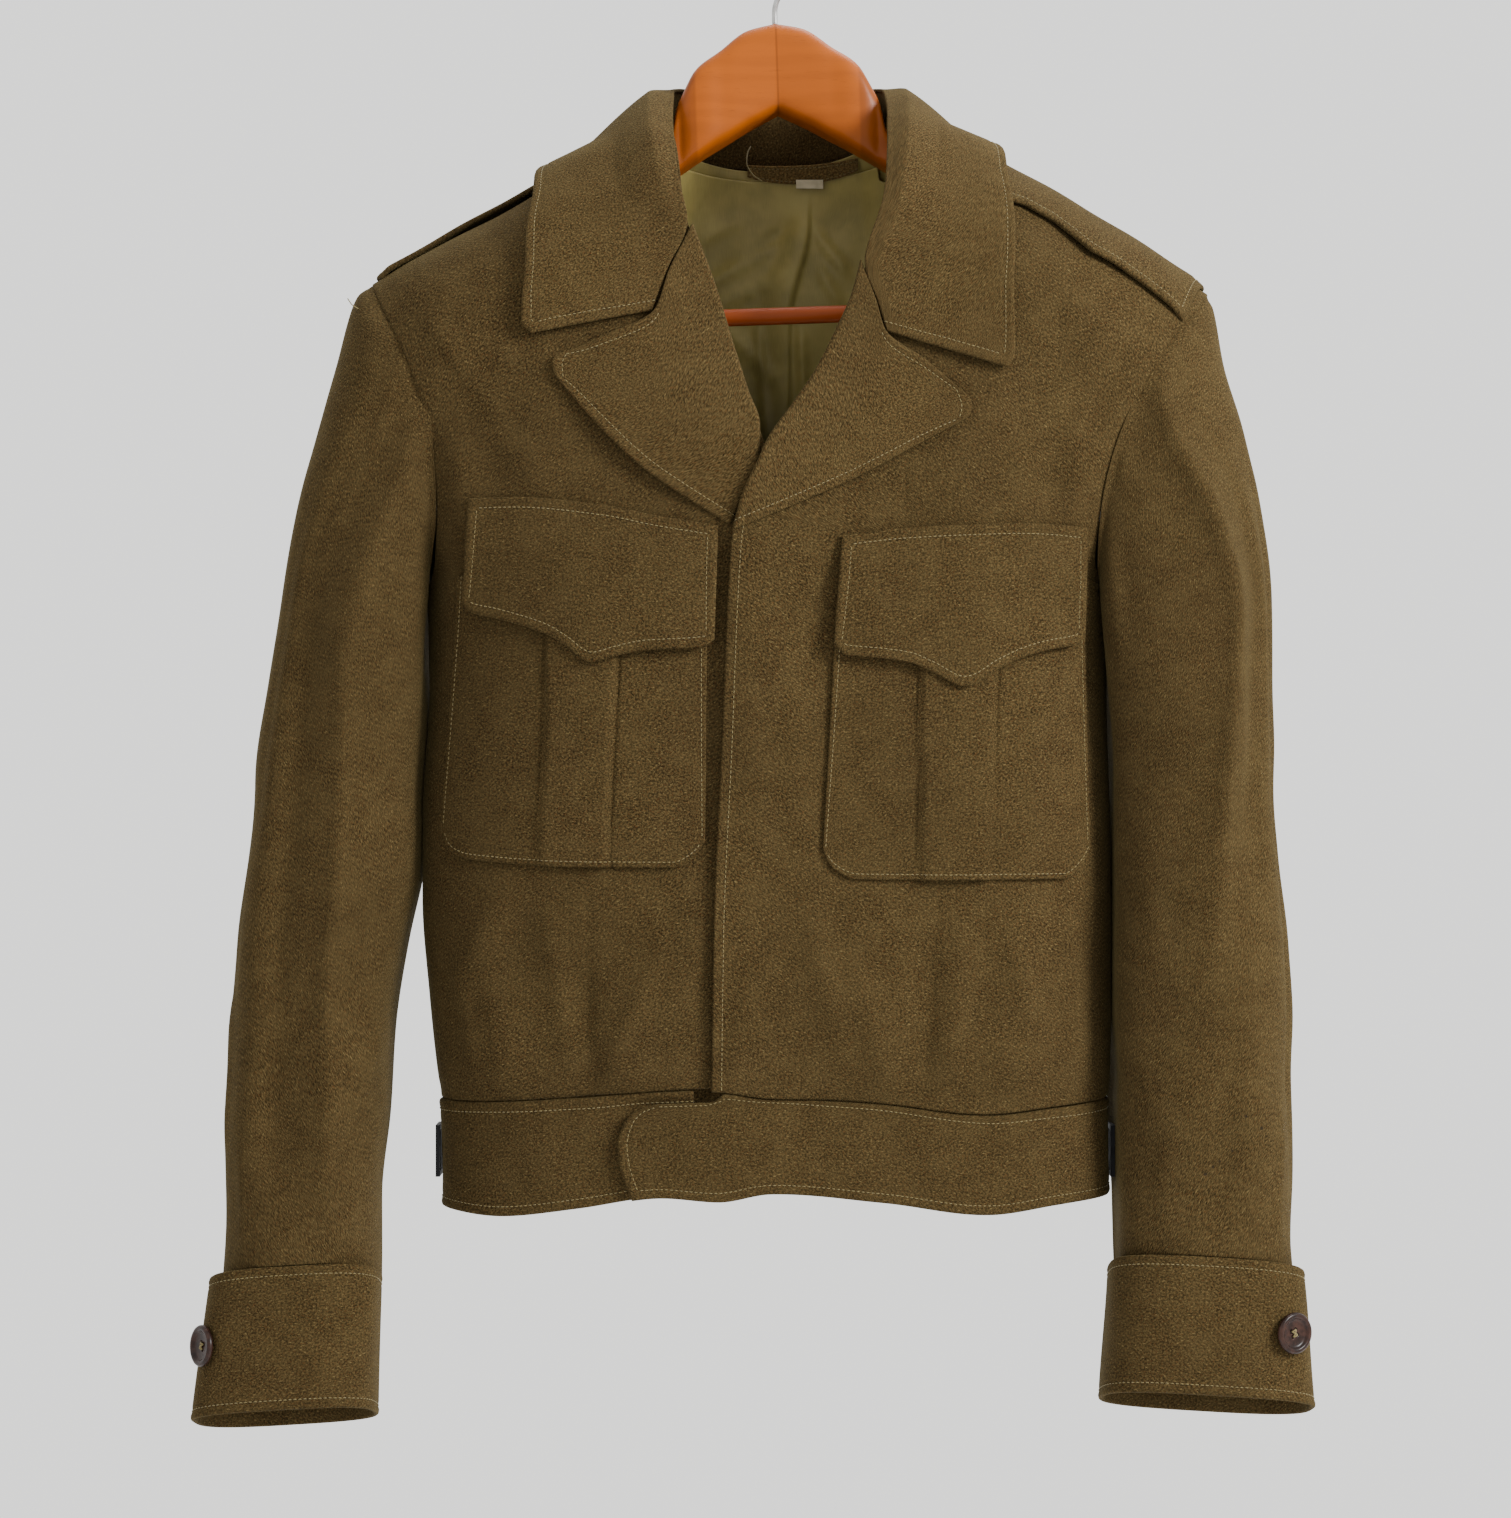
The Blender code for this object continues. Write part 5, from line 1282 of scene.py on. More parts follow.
def make_collar():
    """The fallen leaf, rolled over the top of the stand, and the stand round the neck."""
    half = 62
    fold, edge = collar_path("fold", half), collar_path("edge", half)
    share = np.concatenate([np.linspace(0, 0.12, 12)[:-1], np.linspace(0.12, 1, 40)])[None, :, None]
    grid = (1 - share) * fold[:, None] + share * edge[:, None]
    place = np.abs(np.linspace(-9, 9, 2 * half - 1))[:, None, None]
    crown = FOLD_REACH * ease(share / 0.1) * (1 - ease((share - 0.1) / 0.9)) * ease((7.4 - place) / 3)
    middle = np.array([NECK_MIDDLE, 8.0, 0.0])
    out = (grid - middle) * [1, 1, 0]
    out /= np.linalg.norm(out, axis=-1, keepdims=True)
    grid = grid + out * crown + [0, 0, 1] * crown * 0.55
    near_ridge = ease(1.6 - np.abs(grid[..., 1] - 3) / 40)
    strap_room = 4.4 * near_ridge * ease((np.abs(grid[..., 0] - NECK_MIDDLE) - 84) / 12)
    round_neck, out_share = place[..., 0], share[..., 0]
    wave = 0.7 * np.sin(round_neck * 2.3 + out_share * 4) * out_share * ease((8.6 - round_neck) / 2)
    grid = clear_of_body(grid, DOUBLE_CLOTH + 1.2 + strap_room + 2.5 * out_share + np.abs(wave))
    inward = soften(leaf_inward(grid), 2)
    # The collar leaf takes the lighter collar serge with painted light.
    sew("collar_leaf_cloth", grid, inward, DOUBLE_CLOTH, ["collar_leaf"], slot="wool_painted_light", inside="wool",
        borders=("top", "bottom", "right"), inset=6.0, rests=["back_cloth"])
    left, right = np.linspace(STAND_END, 0, 40), np.linspace(0, STAND_END, 40)[1:]
    top = np.concatenate([
        collar_line(COLLAR_LEFT, "fold", left),
        collar_line(COLLAR_RIGHT, "fold", right),
    ])
    seam = np.concatenate([neck_seam(COLLAR_LEFT, left), neck_seam(COLLAR_RIGHT, right)])
    rise = top - seam
    tall = np.linalg.norm(rise, axis=-1, keepdims=True)
    top = seam + rise * np.clip(1 - 1.0 / tall, 0.2, 1)
    share = np.linspace(0, 1, 16)[None, :, None]
    stand = (1 - share) * top[:, None] + share * seam[:, None]
    out = (top - middle) * [1, 1, 0]
    out /= np.linalg.norm(out, axis=-1, keepdims=True)
    bow = -0.8 * np.sin(math.pi * share)
    stand = stand + out[:, None] * bow
    # The stand takes the lighter collar serge with painted light outside and the neck serge with painted
    # light inside.
    sew("collar_stand_cloth", stand, np.broadcast_to(out[:, None], stand.shape), CLOTH, ["collar_stand"],
        slot="wool_painted_light", inside="wool_neck_painted_light", rests=["back_cloth"])


def soften(vectors, times):
    """Average vectors with their neighbours along both ways of a grid."""
    for _ in range(times):
        padded = np.pad(vectors, ((1, 1), (1, 1), (0, 0)), mode="edge")
        vectors = unit(padded[:-2, 1:-1] + padded[2:, 1:-1] + padded[1:-1, :-2] + padded[1:-1, 2:]
                       + 2 * padded[1:-1, 1:-1])
    return vectors


def steps_with(start, end, count, marks):
    """Even shares from start to end with closer ones round some marks."""
    shares = [np.linspace(start, end, count)]
    for mark in marks:
        shares.append(mark + np.array([-0.012, -0.006, 0.0, 0.006, 0.012]))
    shares = np.unique(np.clip(np.concatenate(shares), start, end))
    return shares[np.concatenate([[True], np.diff(shares) > 0.002])]


def pressed(x, z, lift):
    """Points at a lift over the front, seen from the front where they are drawn."""
    total = lift + fold_rise(x, z, -1)
    normal = on_body(x, z, -1)[1]
    base = on_body(x - normal[..., 0] * total, z, -1)[0]
    return base + normal * total[..., None], normal


def make_pocket(which, rows):
    """A patch pocket with a folded box pleat down its middle."""
    count = 52
    (left0, right0), (left1, right1) = rows["pleat"]
    first, last = rows["body_top"][0][0], rows["body_top"][-1][0]
    marks = [(mark - first) / (last - first) for mark in (left0, right0)]
    shares = steps_with(0, 1, 60, marks)
    high, low = run_at(rows["body_top"], shares), run_at(rows["body_low"], shares)
    start = np.linspace(high[0], low[0], count)
    end = np.linspace(high[-1], low[-1], count)
    places = fill(high, low, start, end, columns=shares)
    x, z = places[..., 0], places[..., 1]
    share = np.linspace(0, 1, count)[:, None]
    left = left0 + (left1 - left0) * share
    right = right0 + (right1 - right0) * share
    raised = ease((x - left) / 1.0 + 0.5) * ease((right - x) / 1.8 + 0.5)
    crease = -1.0 * np.exp(-((x - left + 1.0) / 0.9) ** 2)
    crease = crease - 0.9 * np.exp(-((right - x + 1.2) / 1.3) ** 2)
    lift = POCKET_LIFT + (PLEAT_RISE + 0.9) * raised + crease
    belly = 1.6 * np.sin(math.pi * share) * np.sin(math.pi * (x - first) / (last - first)) ** 2
    lift = lift + belly + 0.35 * unevenness(x, z)
    if which == "left":
        lift = lift + lap(x, z)
    point, normal = pressed(x, z, lift)
    node = "pocket_" + which
    sew(node + "_cloth", point, -normal, POCKET_CLOTH, [node], inside="wool",
        borders=("left", "bottom", "right"), inset=3.2, rests=["front_" + which + "_cloth"])


def make_flap(which, rows):
    """A pointed flap that falls over the pocket's mouth."""
    columns, count = 88, 40
    high, low = run_of(rows["top"], columns), run_of(rows["flap"], columns)
    start = np.linspace(high[0], low[0], count)
    end = np.linspace(high[-1], low[-1], count)
    places = fill(high, low, start, end)
    x, z = places[..., 0], places[..., 1]
    share = np.linspace(0, 1, count)[:, None]
    over_pocket = POCKET_LIFT + PLEAT_RISE + 0.4
    lift = FLAP_LIFT + over_pocket * ease(share / 0.45) + 1.0 * share
    lift = lift + 1.2 * share * np.sin(math.pi * (x - x.min()) / (x.max() - x.min())) ** 2
    lift = lift + 0.5 * share * np.sin(x * 0.11 + 1.0)
    if which == "left":
        lift = lift + lap(x, z)
    point, normal = pressed(x, z, lift)
    node = "pocket_flap_" + which
    sew(node + "_cloth", point, -normal, DOUBLE_CLOTH, [node], inside="wool",
        borders=("top", "left", "bottom", "right"), inset=5.8, rests=["front_" + which + "_cloth"])


# The left strap leans over the front: how much wider it is there, from tip to neck
STRAP_WAVE = table(
    "share wider",
    (0, 17), (0.1, 18), (0.3, 20), (0.41, 24), (0.58, 18), (0.70, 19), (0.82, 26), (1.0, 30),
)
STRAP_END_SLANT = 0.32


def make_strap(name, node, size):
    """A doubled strap laid along the shoulder line."""
    x = np.linspace(size["tip"], size["neck"], 60)[:, None]
    share = np.linspace(0, 1, 60)[:, None]
    wave = np.interp(share, STRAP_WAVE["share"], STRAP_WAVE["wider"])
    before = size["before"] - (x[0] > 0) * wave
    arc = before + (size["behind"] - before) * np.linspace(0, 1, 34)
    x = x - np.sign(x) * (1 - share) * (1 + STRAP_END_SLANT * np.abs(arc))
    bow = 0.6 * np.sin(math.pi * share) + 0.3 * np.sin(x * 0.13 + arc * 0.05)
    point = over_shoulder(x, arc, BAND_CLOTH - 0.6 + (1.6 + bow) * ease(share / 0.06))
    sew(name, point, -body_normal(point), BAND_CLOTH, [node], inside="wool",
        borders=("top", "left", "right"), inset=5.0, rests=["back_cloth"])


def over_shoulder(x, arc, lift):
    """Points at a distance before (-) or behind (+) the shoulder line, moved out."""
    face = np.sign(arc)
    drop = np.linspace(0, 1, 81)[:, None, None] ** 2 * 70
    height = read(RIDGE, "height", x) - drop
    wide = np.broadcast_to(x, height.shape)
    depth = np.where(face < 0, body_depth(wide, height, -1), body_depth(wide, height, 1))
    path = np.stack([wide, depth, height], axis=-1)
    run = np.linalg.norm(np.diff(path, axis=0), axis=-1)
    run = np.concatenate([np.zeros((1,) + x.shape), np.cumsum(run, axis=0)])
    place = np.clip((run < np.abs(arc)).sum(axis=0) - 1, 0, len(run) - 2)[None]
    low, high = np.take_along_axis(run, place, 0)[0], np.take_along_axis(run, place + 1, 0)[0]
    share = ((np.abs(arc) - low) / np.maximum(high - low, 1e-9))[..., None]
    near = np.take_along_axis(path, place[..., None], 0)[0]
    beyond = np.take_along_axis(path, place[..., None] + 1, 0)[0]
    point = near * (1 - share) + beyond * share
    return point + body_normal(point) * np.asarray(lift)[..., None]


def band_grid(face, turns_at, end_cut=None, rise=0.0, steps=30):
    """Points and directions of a stretch of waistband between two angles of the body."""
    shares = np.linspace(0, 1, steps)[:, None]
    turn = np.broadcast_to(turns_at, (steps, len(turns_at))).copy()
    if end_cut is not None:
        first = across_of(turn[:, 0], np.full(steps, WAIST_SEAM)) + end_cut
        last = across_of(turn[:, -1], np.full(steps, WAIST_SEAM))
        spread = np.linspace(0, 1, len(turns_at)) ** 1.3
        x = first[:, None] + (last - first)[:, None] * spread
        turn = turn_of(x, np.full_like(x, WAIST_SEAM))
        turn[:, -1] = turns_at[-1]
    middle = across_of(turn, np.full_like(turn, WAIST_SEAM))
    seam = read(WAIST, "seam", middle) - WAIST_GAP / 2
    if end_cut is not None:
        seam = seam - 5.5 * ease((EDGE_LEFT["across"][-1] + 8 - middle) / 8)
    z = seam + (read(WAIST, "hem", middle) - seam) * shares
    x = across_of(turn, z)
    base, normal = on_body(x, z, face)
    lift = 1.0 + (rise(x) if callable(rise) else rise)
    lift = lift + 0.7 * np.sin(x * 0.045 + 1.1) * np.sin(math.pi * shares)
    lift = lift + 0.35 * np.sin(x * 0.14 + z * 0.06)
    return base + normal * np.asarray(lift + 0 * x)[..., None], -normal


def make_waistband():
    """Right band, left band with the tab that laps over it, and the back band."""
    at = WAIST_SEAM
    tab = float(turn_of(np.array(TAB_REACH), at))
    under = float(turn_of(np.array(BAND_END), at))
    steps = 30
    cut = read(TAB_END, "cut", np.linspace(0, 1, steps))
    side = seam_turn(1)
    pieces = (
        ("waistband_left", -1, np.linspace(tab, side, 150), cut, tab_rise, ("top", "bottom", "left")),
        ("waistband_right", -1, np.linspace(-side, under, 80), None, 0.0, ("top", "bottom")),
        ("waistband_back", 1, np.linspace(-side, side, 160), None, 0.0, ("top", "bottom")),
    )
    for node, face, turns, end_cut, rise, borders in pieces:
        grid, inward = band_grid(face, turns, end_cut, rise, steps)
        sew(node + "_cloth", grid, inward, BAND_CLOTH, [node], inside="wool", borders=borders,
            inset=5.6, rests=["back_cloth"])


# Soft slanting creases of the lining below the neck
LINING_CREASES = table(
    "face from_across from_height to_across to_height width rise",
    (1, -44, -205, 4, -176, 3.0, 1.6),
    (1, -34, -214, 8, -196, 2.2, 1.3),
    (1, -50, -176, -14, -160, 4.0, 1.1),
    (1, -20, -190, 16, -162, 2.6, -1.2),
    (1, 26, -168, 48, -196, 3.0, 1.5),
    (1, 28, -190, 44, -216, 3.0, 1.3),
    (1, -30, -226, 6, -262, 4.0, 1.4),
    (1, -8, -222, -2, -300, 3.0, 1.3),
    (1, 18, -226, 22, -300, 3.0, 1.6),
)


def make_inside():
    """The lining, the half-moon facing and the tab that show through the neck."""
    x = np.linspace(-150, 154, 210)[None, :]
    share = np.linspace(0, 1, 130)[:, None]
    off = np.abs(x - NECK_MIDDLE)
    neck = LINING_TOP - 11 * np.sqrt(np.clip(1 - (off / NECK_HALF) ** 2, 0, 1))
    top = np.where(off < NECK_HALF, neck, read(RIDGE, "height", x) - 26)
    z = top + (WAIST_SEAM + 10 - top) * share
    x = x + 0 * z
    depth = ease((share - 0.01) / 0.05)
    line = 23 - 12 * ease((-165 - z) / 60)
    raised = 4.2 * ease((x - line + 20) / 18) * (1 - ease((x - line) / 1.4)) * depth
    slack = 3.0 * ease((share - 0.03) / 0.12) + 1.25
    slack = slack + 3.5 * ease((off - 50) / 14) * (1 - ease(share / 0.3))
    folds = 0.7 * np.sin(x * 0.11 + 0.9 * np.sin(z * 0.03)) * depth * ease((share - 0.02) / 0.2)
    folds = folds + 0.5 * np.sin(x * 0.21 - z * 0.09 + 1.0) * depth + 2.0 * creased(x, z, 1, LINING_CREASES)
    drop = CLOTH + LINING + slack + raised + folds - fold_rise(x, z, 1)
    base, normal = on_body(x, z, 1)
    sew("back_lining_cloth", base - normal * drop[..., None], normal, LINING, ["back_lining"], slot="satin",
        inside="satin", rests=["back_cloth"])
    x = np.linspace(-15, 54, 80)[None, :]
    arc = np.sqrt(np.clip(1 - ((x - NECK_MIDDLE) / NECK_HALF) ** 2, 0, 1))
    moon = np.sin(math.pi * np.linspace(0.08, 0.92, 80)) ** 0.5
    z = (FACING_TOP - 9.5 * arc) - (3 + 8 * moon) * np.linspace(0, 1, 14)[:, None]
    x = x + 0 * z
    at_facing = CLOTH + 2 * LINING + 4.0
    base, normal = on_body(x, z, 1)
    # The neck facing takes the neck serge with painted light.
    sew("neck_facing_cloth", base - normal * at_facing, normal, LINING, ["neck_facing"], slot="wool_neck_painted_light",
        inside="wool", borders=("top", "bottom"), inset=1.8, depth=0.2, rests=["back_cloth"])
    x = np.linspace(16, 33, 26)[None, :]
    z = np.linspace(TAB_TOP, TAB_LOW, 14)[:, None] + 0 * x
    x = x + 0 * z
    base, normal = on_body(x, z, 1)
    sew("label_tab_cloth", base - normal * (at_facing + LINING + 1.0), normal, LINING * 0.8, ["label_tab"],
        slot="tape", inside="tape", rests=["back_cloth"])


def tube(path, radius, sides):
    """A closed tube: circles square to a path, shrunk to a rounded cap at both ends."""
    forward = unit(np.gradient(path, axis=0))
    side = unit(np.cross(forward, [0.0, 1.0, 0.02]))
    other = np.cross(side, forward)
    angle = np.arange(sides)[None, :, None] / sides * 2 * math.pi
    ring = np.cos(angle) * side[:, None] + np.sin(angle) * other[:, None]
    reach = np.concatenate([[0], np.cumsum(np.linalg.norm(np.diff(path, axis=0), axis=1))])
    near = np.minimum(reach, reach[-1] - reach)
    wide = radius * np.sqrt(1 - (1 - np.clip(near / radius, 0.02, 1)) ** 2)
    return path[:, None] + ring * wide[:, None, None]


def loft(name, rings, materials):
    """A closed solid through rings of points, with a fan of quads at each end."""
    count, sides = rings.shape[:2]
    points = rings.reshape(-1, 3)
    index = np.arange(count * sides).reshape(count, sides)
    index = np.concatenate([index, index[:, :1]], axis=1)
    quads = np.stack([index[:-1, :-1], index[:-1, 1:], index[1:, 1:], index[1:, :-1]], -1).reshape(-1, 4)
    first, last = len(points), len(points) + 1
    points = np.concatenate([points, rings[0].mean(0)[None], rings[-1].mean(0)[None]])
    start = np.stack([index[0, 1:], index[0, :-1], np.full(sides, first)], -1)
    end = np.stack([index[-1, :-1], index[-1, 1:], np.full(sides, last)], -1)
    corner = np.concatenate([start, end])
    mesh_faces = quads.tolist() + corner.tolist()
    if swept(points[quads]) + swept(points[corner]) < 0:
        mesh_faces = [face[::-1] for face in mesh_faces]
    mesh = bpy.data.meshes.new(name)
    mesh.from_pydata((points * MM).tolist(), [], mesh_faces)
    mesh.shade_smooth()
    mesh.set_sharp_from_angle(angle=math.radians(60))
    for material in materials:
        mesh.materials.append(material)
    item = bpy.data.objects.new(name, mesh)
    bpy.context.collection.objects.link(item)
    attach(item, "root")
    return item


def make_hanger():
    """Wooden arms: superellipse sections whose edges follow the hanger's table."""
    reach = HANGER["along"][-1]
    half = np.unique(np.concatenate([np.linspace(0, reach, 90), np.linspace(50, 62, 16)]))
    along = np.concatenate([-half[::-1], half[1:]])
    angle = np.arange(56) / 56 * 2 * math.pi
    bottom, depth, thick = (read(HANGER, key, np.abs(along))[:, None]
                            for key in ("bottom", "depth", "thick"))
    wider = WOOD_WIDER * ease((np.abs(along) - 30) / 20) * (1 - ease((np.abs(along) - 66) / 12))
    top = read(HANGER, "top", np.abs(along) - wider)[:, None]
    y = depth + thick / 2 * power(np.cos(angle), 2 / WOOD_SQUARE)
    z = (top + bottom) / 2 + (top - bottom) / 2 * power(np.sin(angle), 2 / WOOD_SQUARE)
    rings = np.stack([along[:, None] + 0 * y, y, z], axis=-1)
    arms = loft("hanger_wood", tilt(rings), [FINISH["wood"]])
    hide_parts("hanger")
    end = float(smooth(HANGER["bottom"], HANGER["along"], np.array(BAR_HEIGHT + 0.5)))
    path = np.stack([np.linspace(-end, end, 80), np.full(80, -1.0), np.full(80, BAR_HEIGHT)], axis=-1)
    bar = loft("trouser_bar_wood", tilt(tube(path, BAR_WIDTH / 2, 28)), [FINISH["dowel"]])
    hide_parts("trouser_bar")


def make_hook():
    """A round wire from the crown up and over in one open bend, in a small collar."""
    middle = np.array([0.0, 0.0, HOOK_WIRE / 2 - HOOK_BEND])
    turn = np.radians(np.linspace(-52, 196, 90))
    bend = np.stack([HOOK_BEND * np.cos(turn), 0 * turn, HOOK_BEND * np.sin(turn)], axis=-1) + middle
    stem = table("height across depth", (-60.2, 2.1, 8), (-52, 2, 6), (-46, 3.4, 3), (-41.5, 7.8, 1))
    z = np.linspace(-60.2, -41.8, 22)
    start = np.stack([read(stem, "across", z), read(stem, "depth", z), z], axis=-1)
    wire = loft("hook_wire", tube(np.concatenate([start, bend]), HOOK_WIRE / 2, 18), [FINISH["steel"]])
    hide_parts("hook")


def make_button(side, name, node, at_turn, at_share, quarter):
    """A four-hole button: a dish of rings over a flat back, its holes sunk by distance."""
    step = 0.01
    turns = np.array([at_turn - step, at_turn, at_turn + step])
    near = cuff_grid(side, turns, np.array([at_share - step, at_share, at_share + step]))
    normal = unit(np.cross(near[1, 2] - near[1, 0], near[2, 1] - near[0, 1]))
    if normal[0] * side < 0:
        normal = -normal
    level, up = frame_at(normal)
    seat = near[1, 1] + normal * 0.6
    angle = np.arange(72) / 72 * 2 * math.pi
    profile = table(
        "radius rise",
        (0.02, 0.46), (0.12, 0.46), (0.24, 0.47), (0.36, 0.49), (0.48, 0.52), (0.58, 0.56), (0.66, 0.62),
        (0.70, 0.74), (0.74, 0.90), (0.79, 0.98), (0.85, 1.0), (0.91, 0.97), (0.96, 0.86), (0.99, 0.70),
        (1.0, 0.52), (0.99, 0.34), (0.95, 0.18), (0.88, 0.06), (0.80, 0.0), (0.4, 0.0), (0.05, 0.0),
    )
    inner = np.linspace(0.02, 0.5, 22)
    radius = np.concatenate([inner, profile["radius"][5:]])
    rise = np.concatenate([smooth(profile["radius"][:8], profile["rise"][:8], inner), profile["rise"][5:]])
    across = radius[:, None] * np.cos(angle) * BUTTON_WIDTH / 2
    along = radius[:, None] * np.sin(angle) * BUTTON_WIDTH / 2
    high = rise[:, None] * BUTTON_THICK + 0 * across
    hole_turns = [quarter + k * math.pi / 2 for k in range(4)]
    holes = [(math.cos(turn) * 2.3, math.sin(turn) * 2.3) for turn in hole_turns]
    top = np.arange(len(radius))[:, None] < 26
    for a, b in holes:
        far = np.hypot(across - a, along - b)
        high = high - np.where(top, 1.3 * ease((1.25 - far) / 0.55), 0)
    rings = seat + across[..., None] * level + along[..., None] * up + high[..., None] * normal
    item = loft(name, rings, [FINISH["button"]])
    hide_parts(node)
    threads = []
    for first, second in ((0, 2), (1, 3), (0, 1), (2, 3)):
        (a, b), (c, d) = holes[first], holes[second]
        share = np.linspace(0, 1, 18)[:, None]
        flat = np.array([a, b]) * (1 - share) + np.array([c, d]) * share
        lift = 0.40 * BUTTON_THICK + 1.0 * np.sin(math.pi * share[:, 0]) ** 0.5
        threads.append(seat + flat[:, :1] * level + flat[:, 1:] * up + lift[:, None] * normal)
    for place, path in enumerate(threads):
        sewn = loft(name + "_thread_%d" % place, tube(path, 0.42, 8), [FINISH["thread"]])


def make_loose_ends():
    """The thread loop at the back of the neck and short ends of thread on the cloth."""
    loops = (
        ("neck_loop",
         [(-12, 43, -123), (-14, 40, -128), (-14.5, 38, -134), (-11, 37, -141), (-5, 39, -145)], 0.35),
        ("loose_end_right",
         [(-229, -18, -228), (-235, -26, -231), (-240, -30, -229), (-243, -31, -225)], 0.3),
        ("loose_end_left_strap", [(-190, -30, -205), (-186, -34, -207), (-183, -36, -204)], 0.3),
    )
    for name, points, radius in loops:
        points = np.array(points, float)
        own = np.linspace(0, 1, len(points))
        path = np.stack([smooth(own, points[:, k], np.linspace(0, 1, 30)) for k in range(3)], axis=-1)
        item = loft(name, tube(path, radius, 8), [FINISH["thread"]])


class Socket:
    """A shader value that joins in Python sums; each sum adds one Math node."""

    def __init__(self, nodes, output):
        self.nodes = nodes
        self.output = output

    def joined(self, operation, *others):
        return self.nodes.add("ShaderNodeMath", dict(operation=operation), (self,) + others)

    def __add__(self, other):
        return self.joined("ADD", other)

    def __radd__(self, other):
        return self.joined("ADD", other)

    def __mul__(self, other):
        return self.joined("MULTIPLY", other)

    def __rmul__(self, other):
        return self.joined("MULTIPLY", other)

    def __sub__(self, other):
        return self.joined("SUBTRACT", other)

    def __rsub__(self, other):
        return self.nodes.add("ShaderNodeMath", dict(operation="SUBTRACT"), (other, self))

    def wave(self):
        return self.joined("SINE")

    def near(self, low, high):
        """0 below low, 1 above high, eased between."""
        return self.nodes.add("ShaderNodeMapRange", dict(interpolation_type="SMOOTHSTEP"),
                              {"Value": self, "From Min": low, "From Max": high})


class Finish:
    """One material and the nodes that shade it."""

    def __init__(self, name, **fixed):
        self.material = bpy.data.materials.new(name)
        self.material.use_nodes = True
        self.tree = self.material.node_tree
        self.shader = self.tree.nodes["Principled BSDF"]
        for socket, value in fixed.items():
            self.shader.inputs[socket.replace("_", " ")].default_value = value
        self.place = self.add("ShaderNodeTexCoord", {}, {}, "Object")
        self.surface = self.add("ShaderNodeUVMap", dict(uv_map="surface"), {})

    def add(self, kind, settings, values, output=0):
        node = self.tree.nodes.new(kind)
        for key, value in settings.items():
            setattr(node, key, value)
        pairs = values.items() if isinstance(values, dict) else enumerate(values)
        for key, value in pairs:
            self.feed(node.inputs[key], value)
        return Socket(self, node.outputs[output])

    def feed(self, socket, value):
        if isinstance(value, Socket):
            self.tree.links.new(value.output, socket)
        else:
            socket.default_value = value

    def noise(self, vector, scale, detail=2.0, roughness=0.5):
        return self.add("ShaderNodeTexNoise", {}, {"Vector": vector, "Scale": scale, "Detail": detail,
                                                   "Roughness": roughness})

    def stretched(self, vector, x, y, z, turn=0.0):
        values = {"Vector": vector, "Scale": (x, y, z), "Rotation": (0, 0, turn)}
        return self.add("ShaderNodeMapping", {}, values)

    def mixed(self, share, first, second):
        return self.add("ShaderNodeMix", dict(data_type="RGBA"), {0: share, 6: first, 7: second}, 2)

    def parts(self, vector):
        node = self.tree.nodes.new("ShaderNodeSeparateXYZ")
        self.tree.links.new(vector.output, node.inputs[0])
        return [Socket(self, node.outputs[k]) for k in range(3)]

    def bump(self, height, distance, strength):
        values = {"Height": height, "Distance": distance, "Strength": strength}
        normal = self.add("ShaderNodeBump", {}, values)
        self.feed(self.shader.inputs["Normal"], normal)

    def give(self, socket, value):
        self.feed(self.shader.inputs[socket], value)


def shade(colour, factor):
    """A colour with four numbers, made lighter or darker."""
    return (colour[0] * factor, colour[1] * factor, colour[2] * factor, 1)


def wool_finish(name, colour, light, lean):
    """Serge: slanted twill lines, heather flecks of several yarns and a soft nap."""
    f = Finish(name, Sheen_Weight=0.07, Sheen_Roughness=0.4, Sheen_Tint=(0.76, 0.62, 0.26, 1),
               Specular_IOR_Level=0.03)
    across, down, _ = f.parts(f.surface)
    slow = f.noise(f.place, 9.0, 3.0, 0.6)
    patch = f.noise(f.place, 70.0, 3.0, 0.6)
    wobble = f.noise(f.surface, 260.0, 1.0) * 1.8
    pace = 2 * math.pi / 0.0028
    lines = ((across * pace + down * (lean * pace)) + wobble).wave()
    fleck = f.noise(f.surface, 820.0, 2.0, 0.75)
    clump = f.noise(f.surface, 560.0, 2.0, 0.6)
    fibre = f.noise(f.stretched(f.surface, 460, 1150, 1, 0.5), 1.0, 2.0, 0.6)
    red = f.noise(f.stretched(f.surface, 760, 1100, 1, -0.6), 1.0, 1.0, 0.5)
    base = f.mixed(fleck.near(0.38, 0.62), shade(colour, 0.22), shade(colour, 1.85))
    base = f.mixed(clump.near(0.36, 0.64) * 0.5, base, shade(colour, 0.62))
    base = f.mixed(red.near(0.58, 0.68) * 0.5, base, (colour[0] * 1.5, colour[1] * 0.8, colour[2] * 0.6, 1))
    base = f.mixed(fibre.near(0.60, 0.70) * 0.75, base, shade(light, 1.05))
    base = f.mixed(lines.near(-0.6, 1.0) * 0.2, base, shade(colour, 0.35))
    base = f.mixed(patch.near(0.3, 0.75) * 0.16, base, shade(light, 0.7))
    base = f.mixed(slow.near(0.35, 0.7) * 0.25, base, shade(colour, 0.72))
    f.give("Base Color", base)
    f.give("Roughness", 0.84 + fleck * 0.14)
    f.bump(lines * -0.1 + fleck * 1.1 + clump * 0.6 + fibre * 0.6, 0.0004, 0.8)
    return f


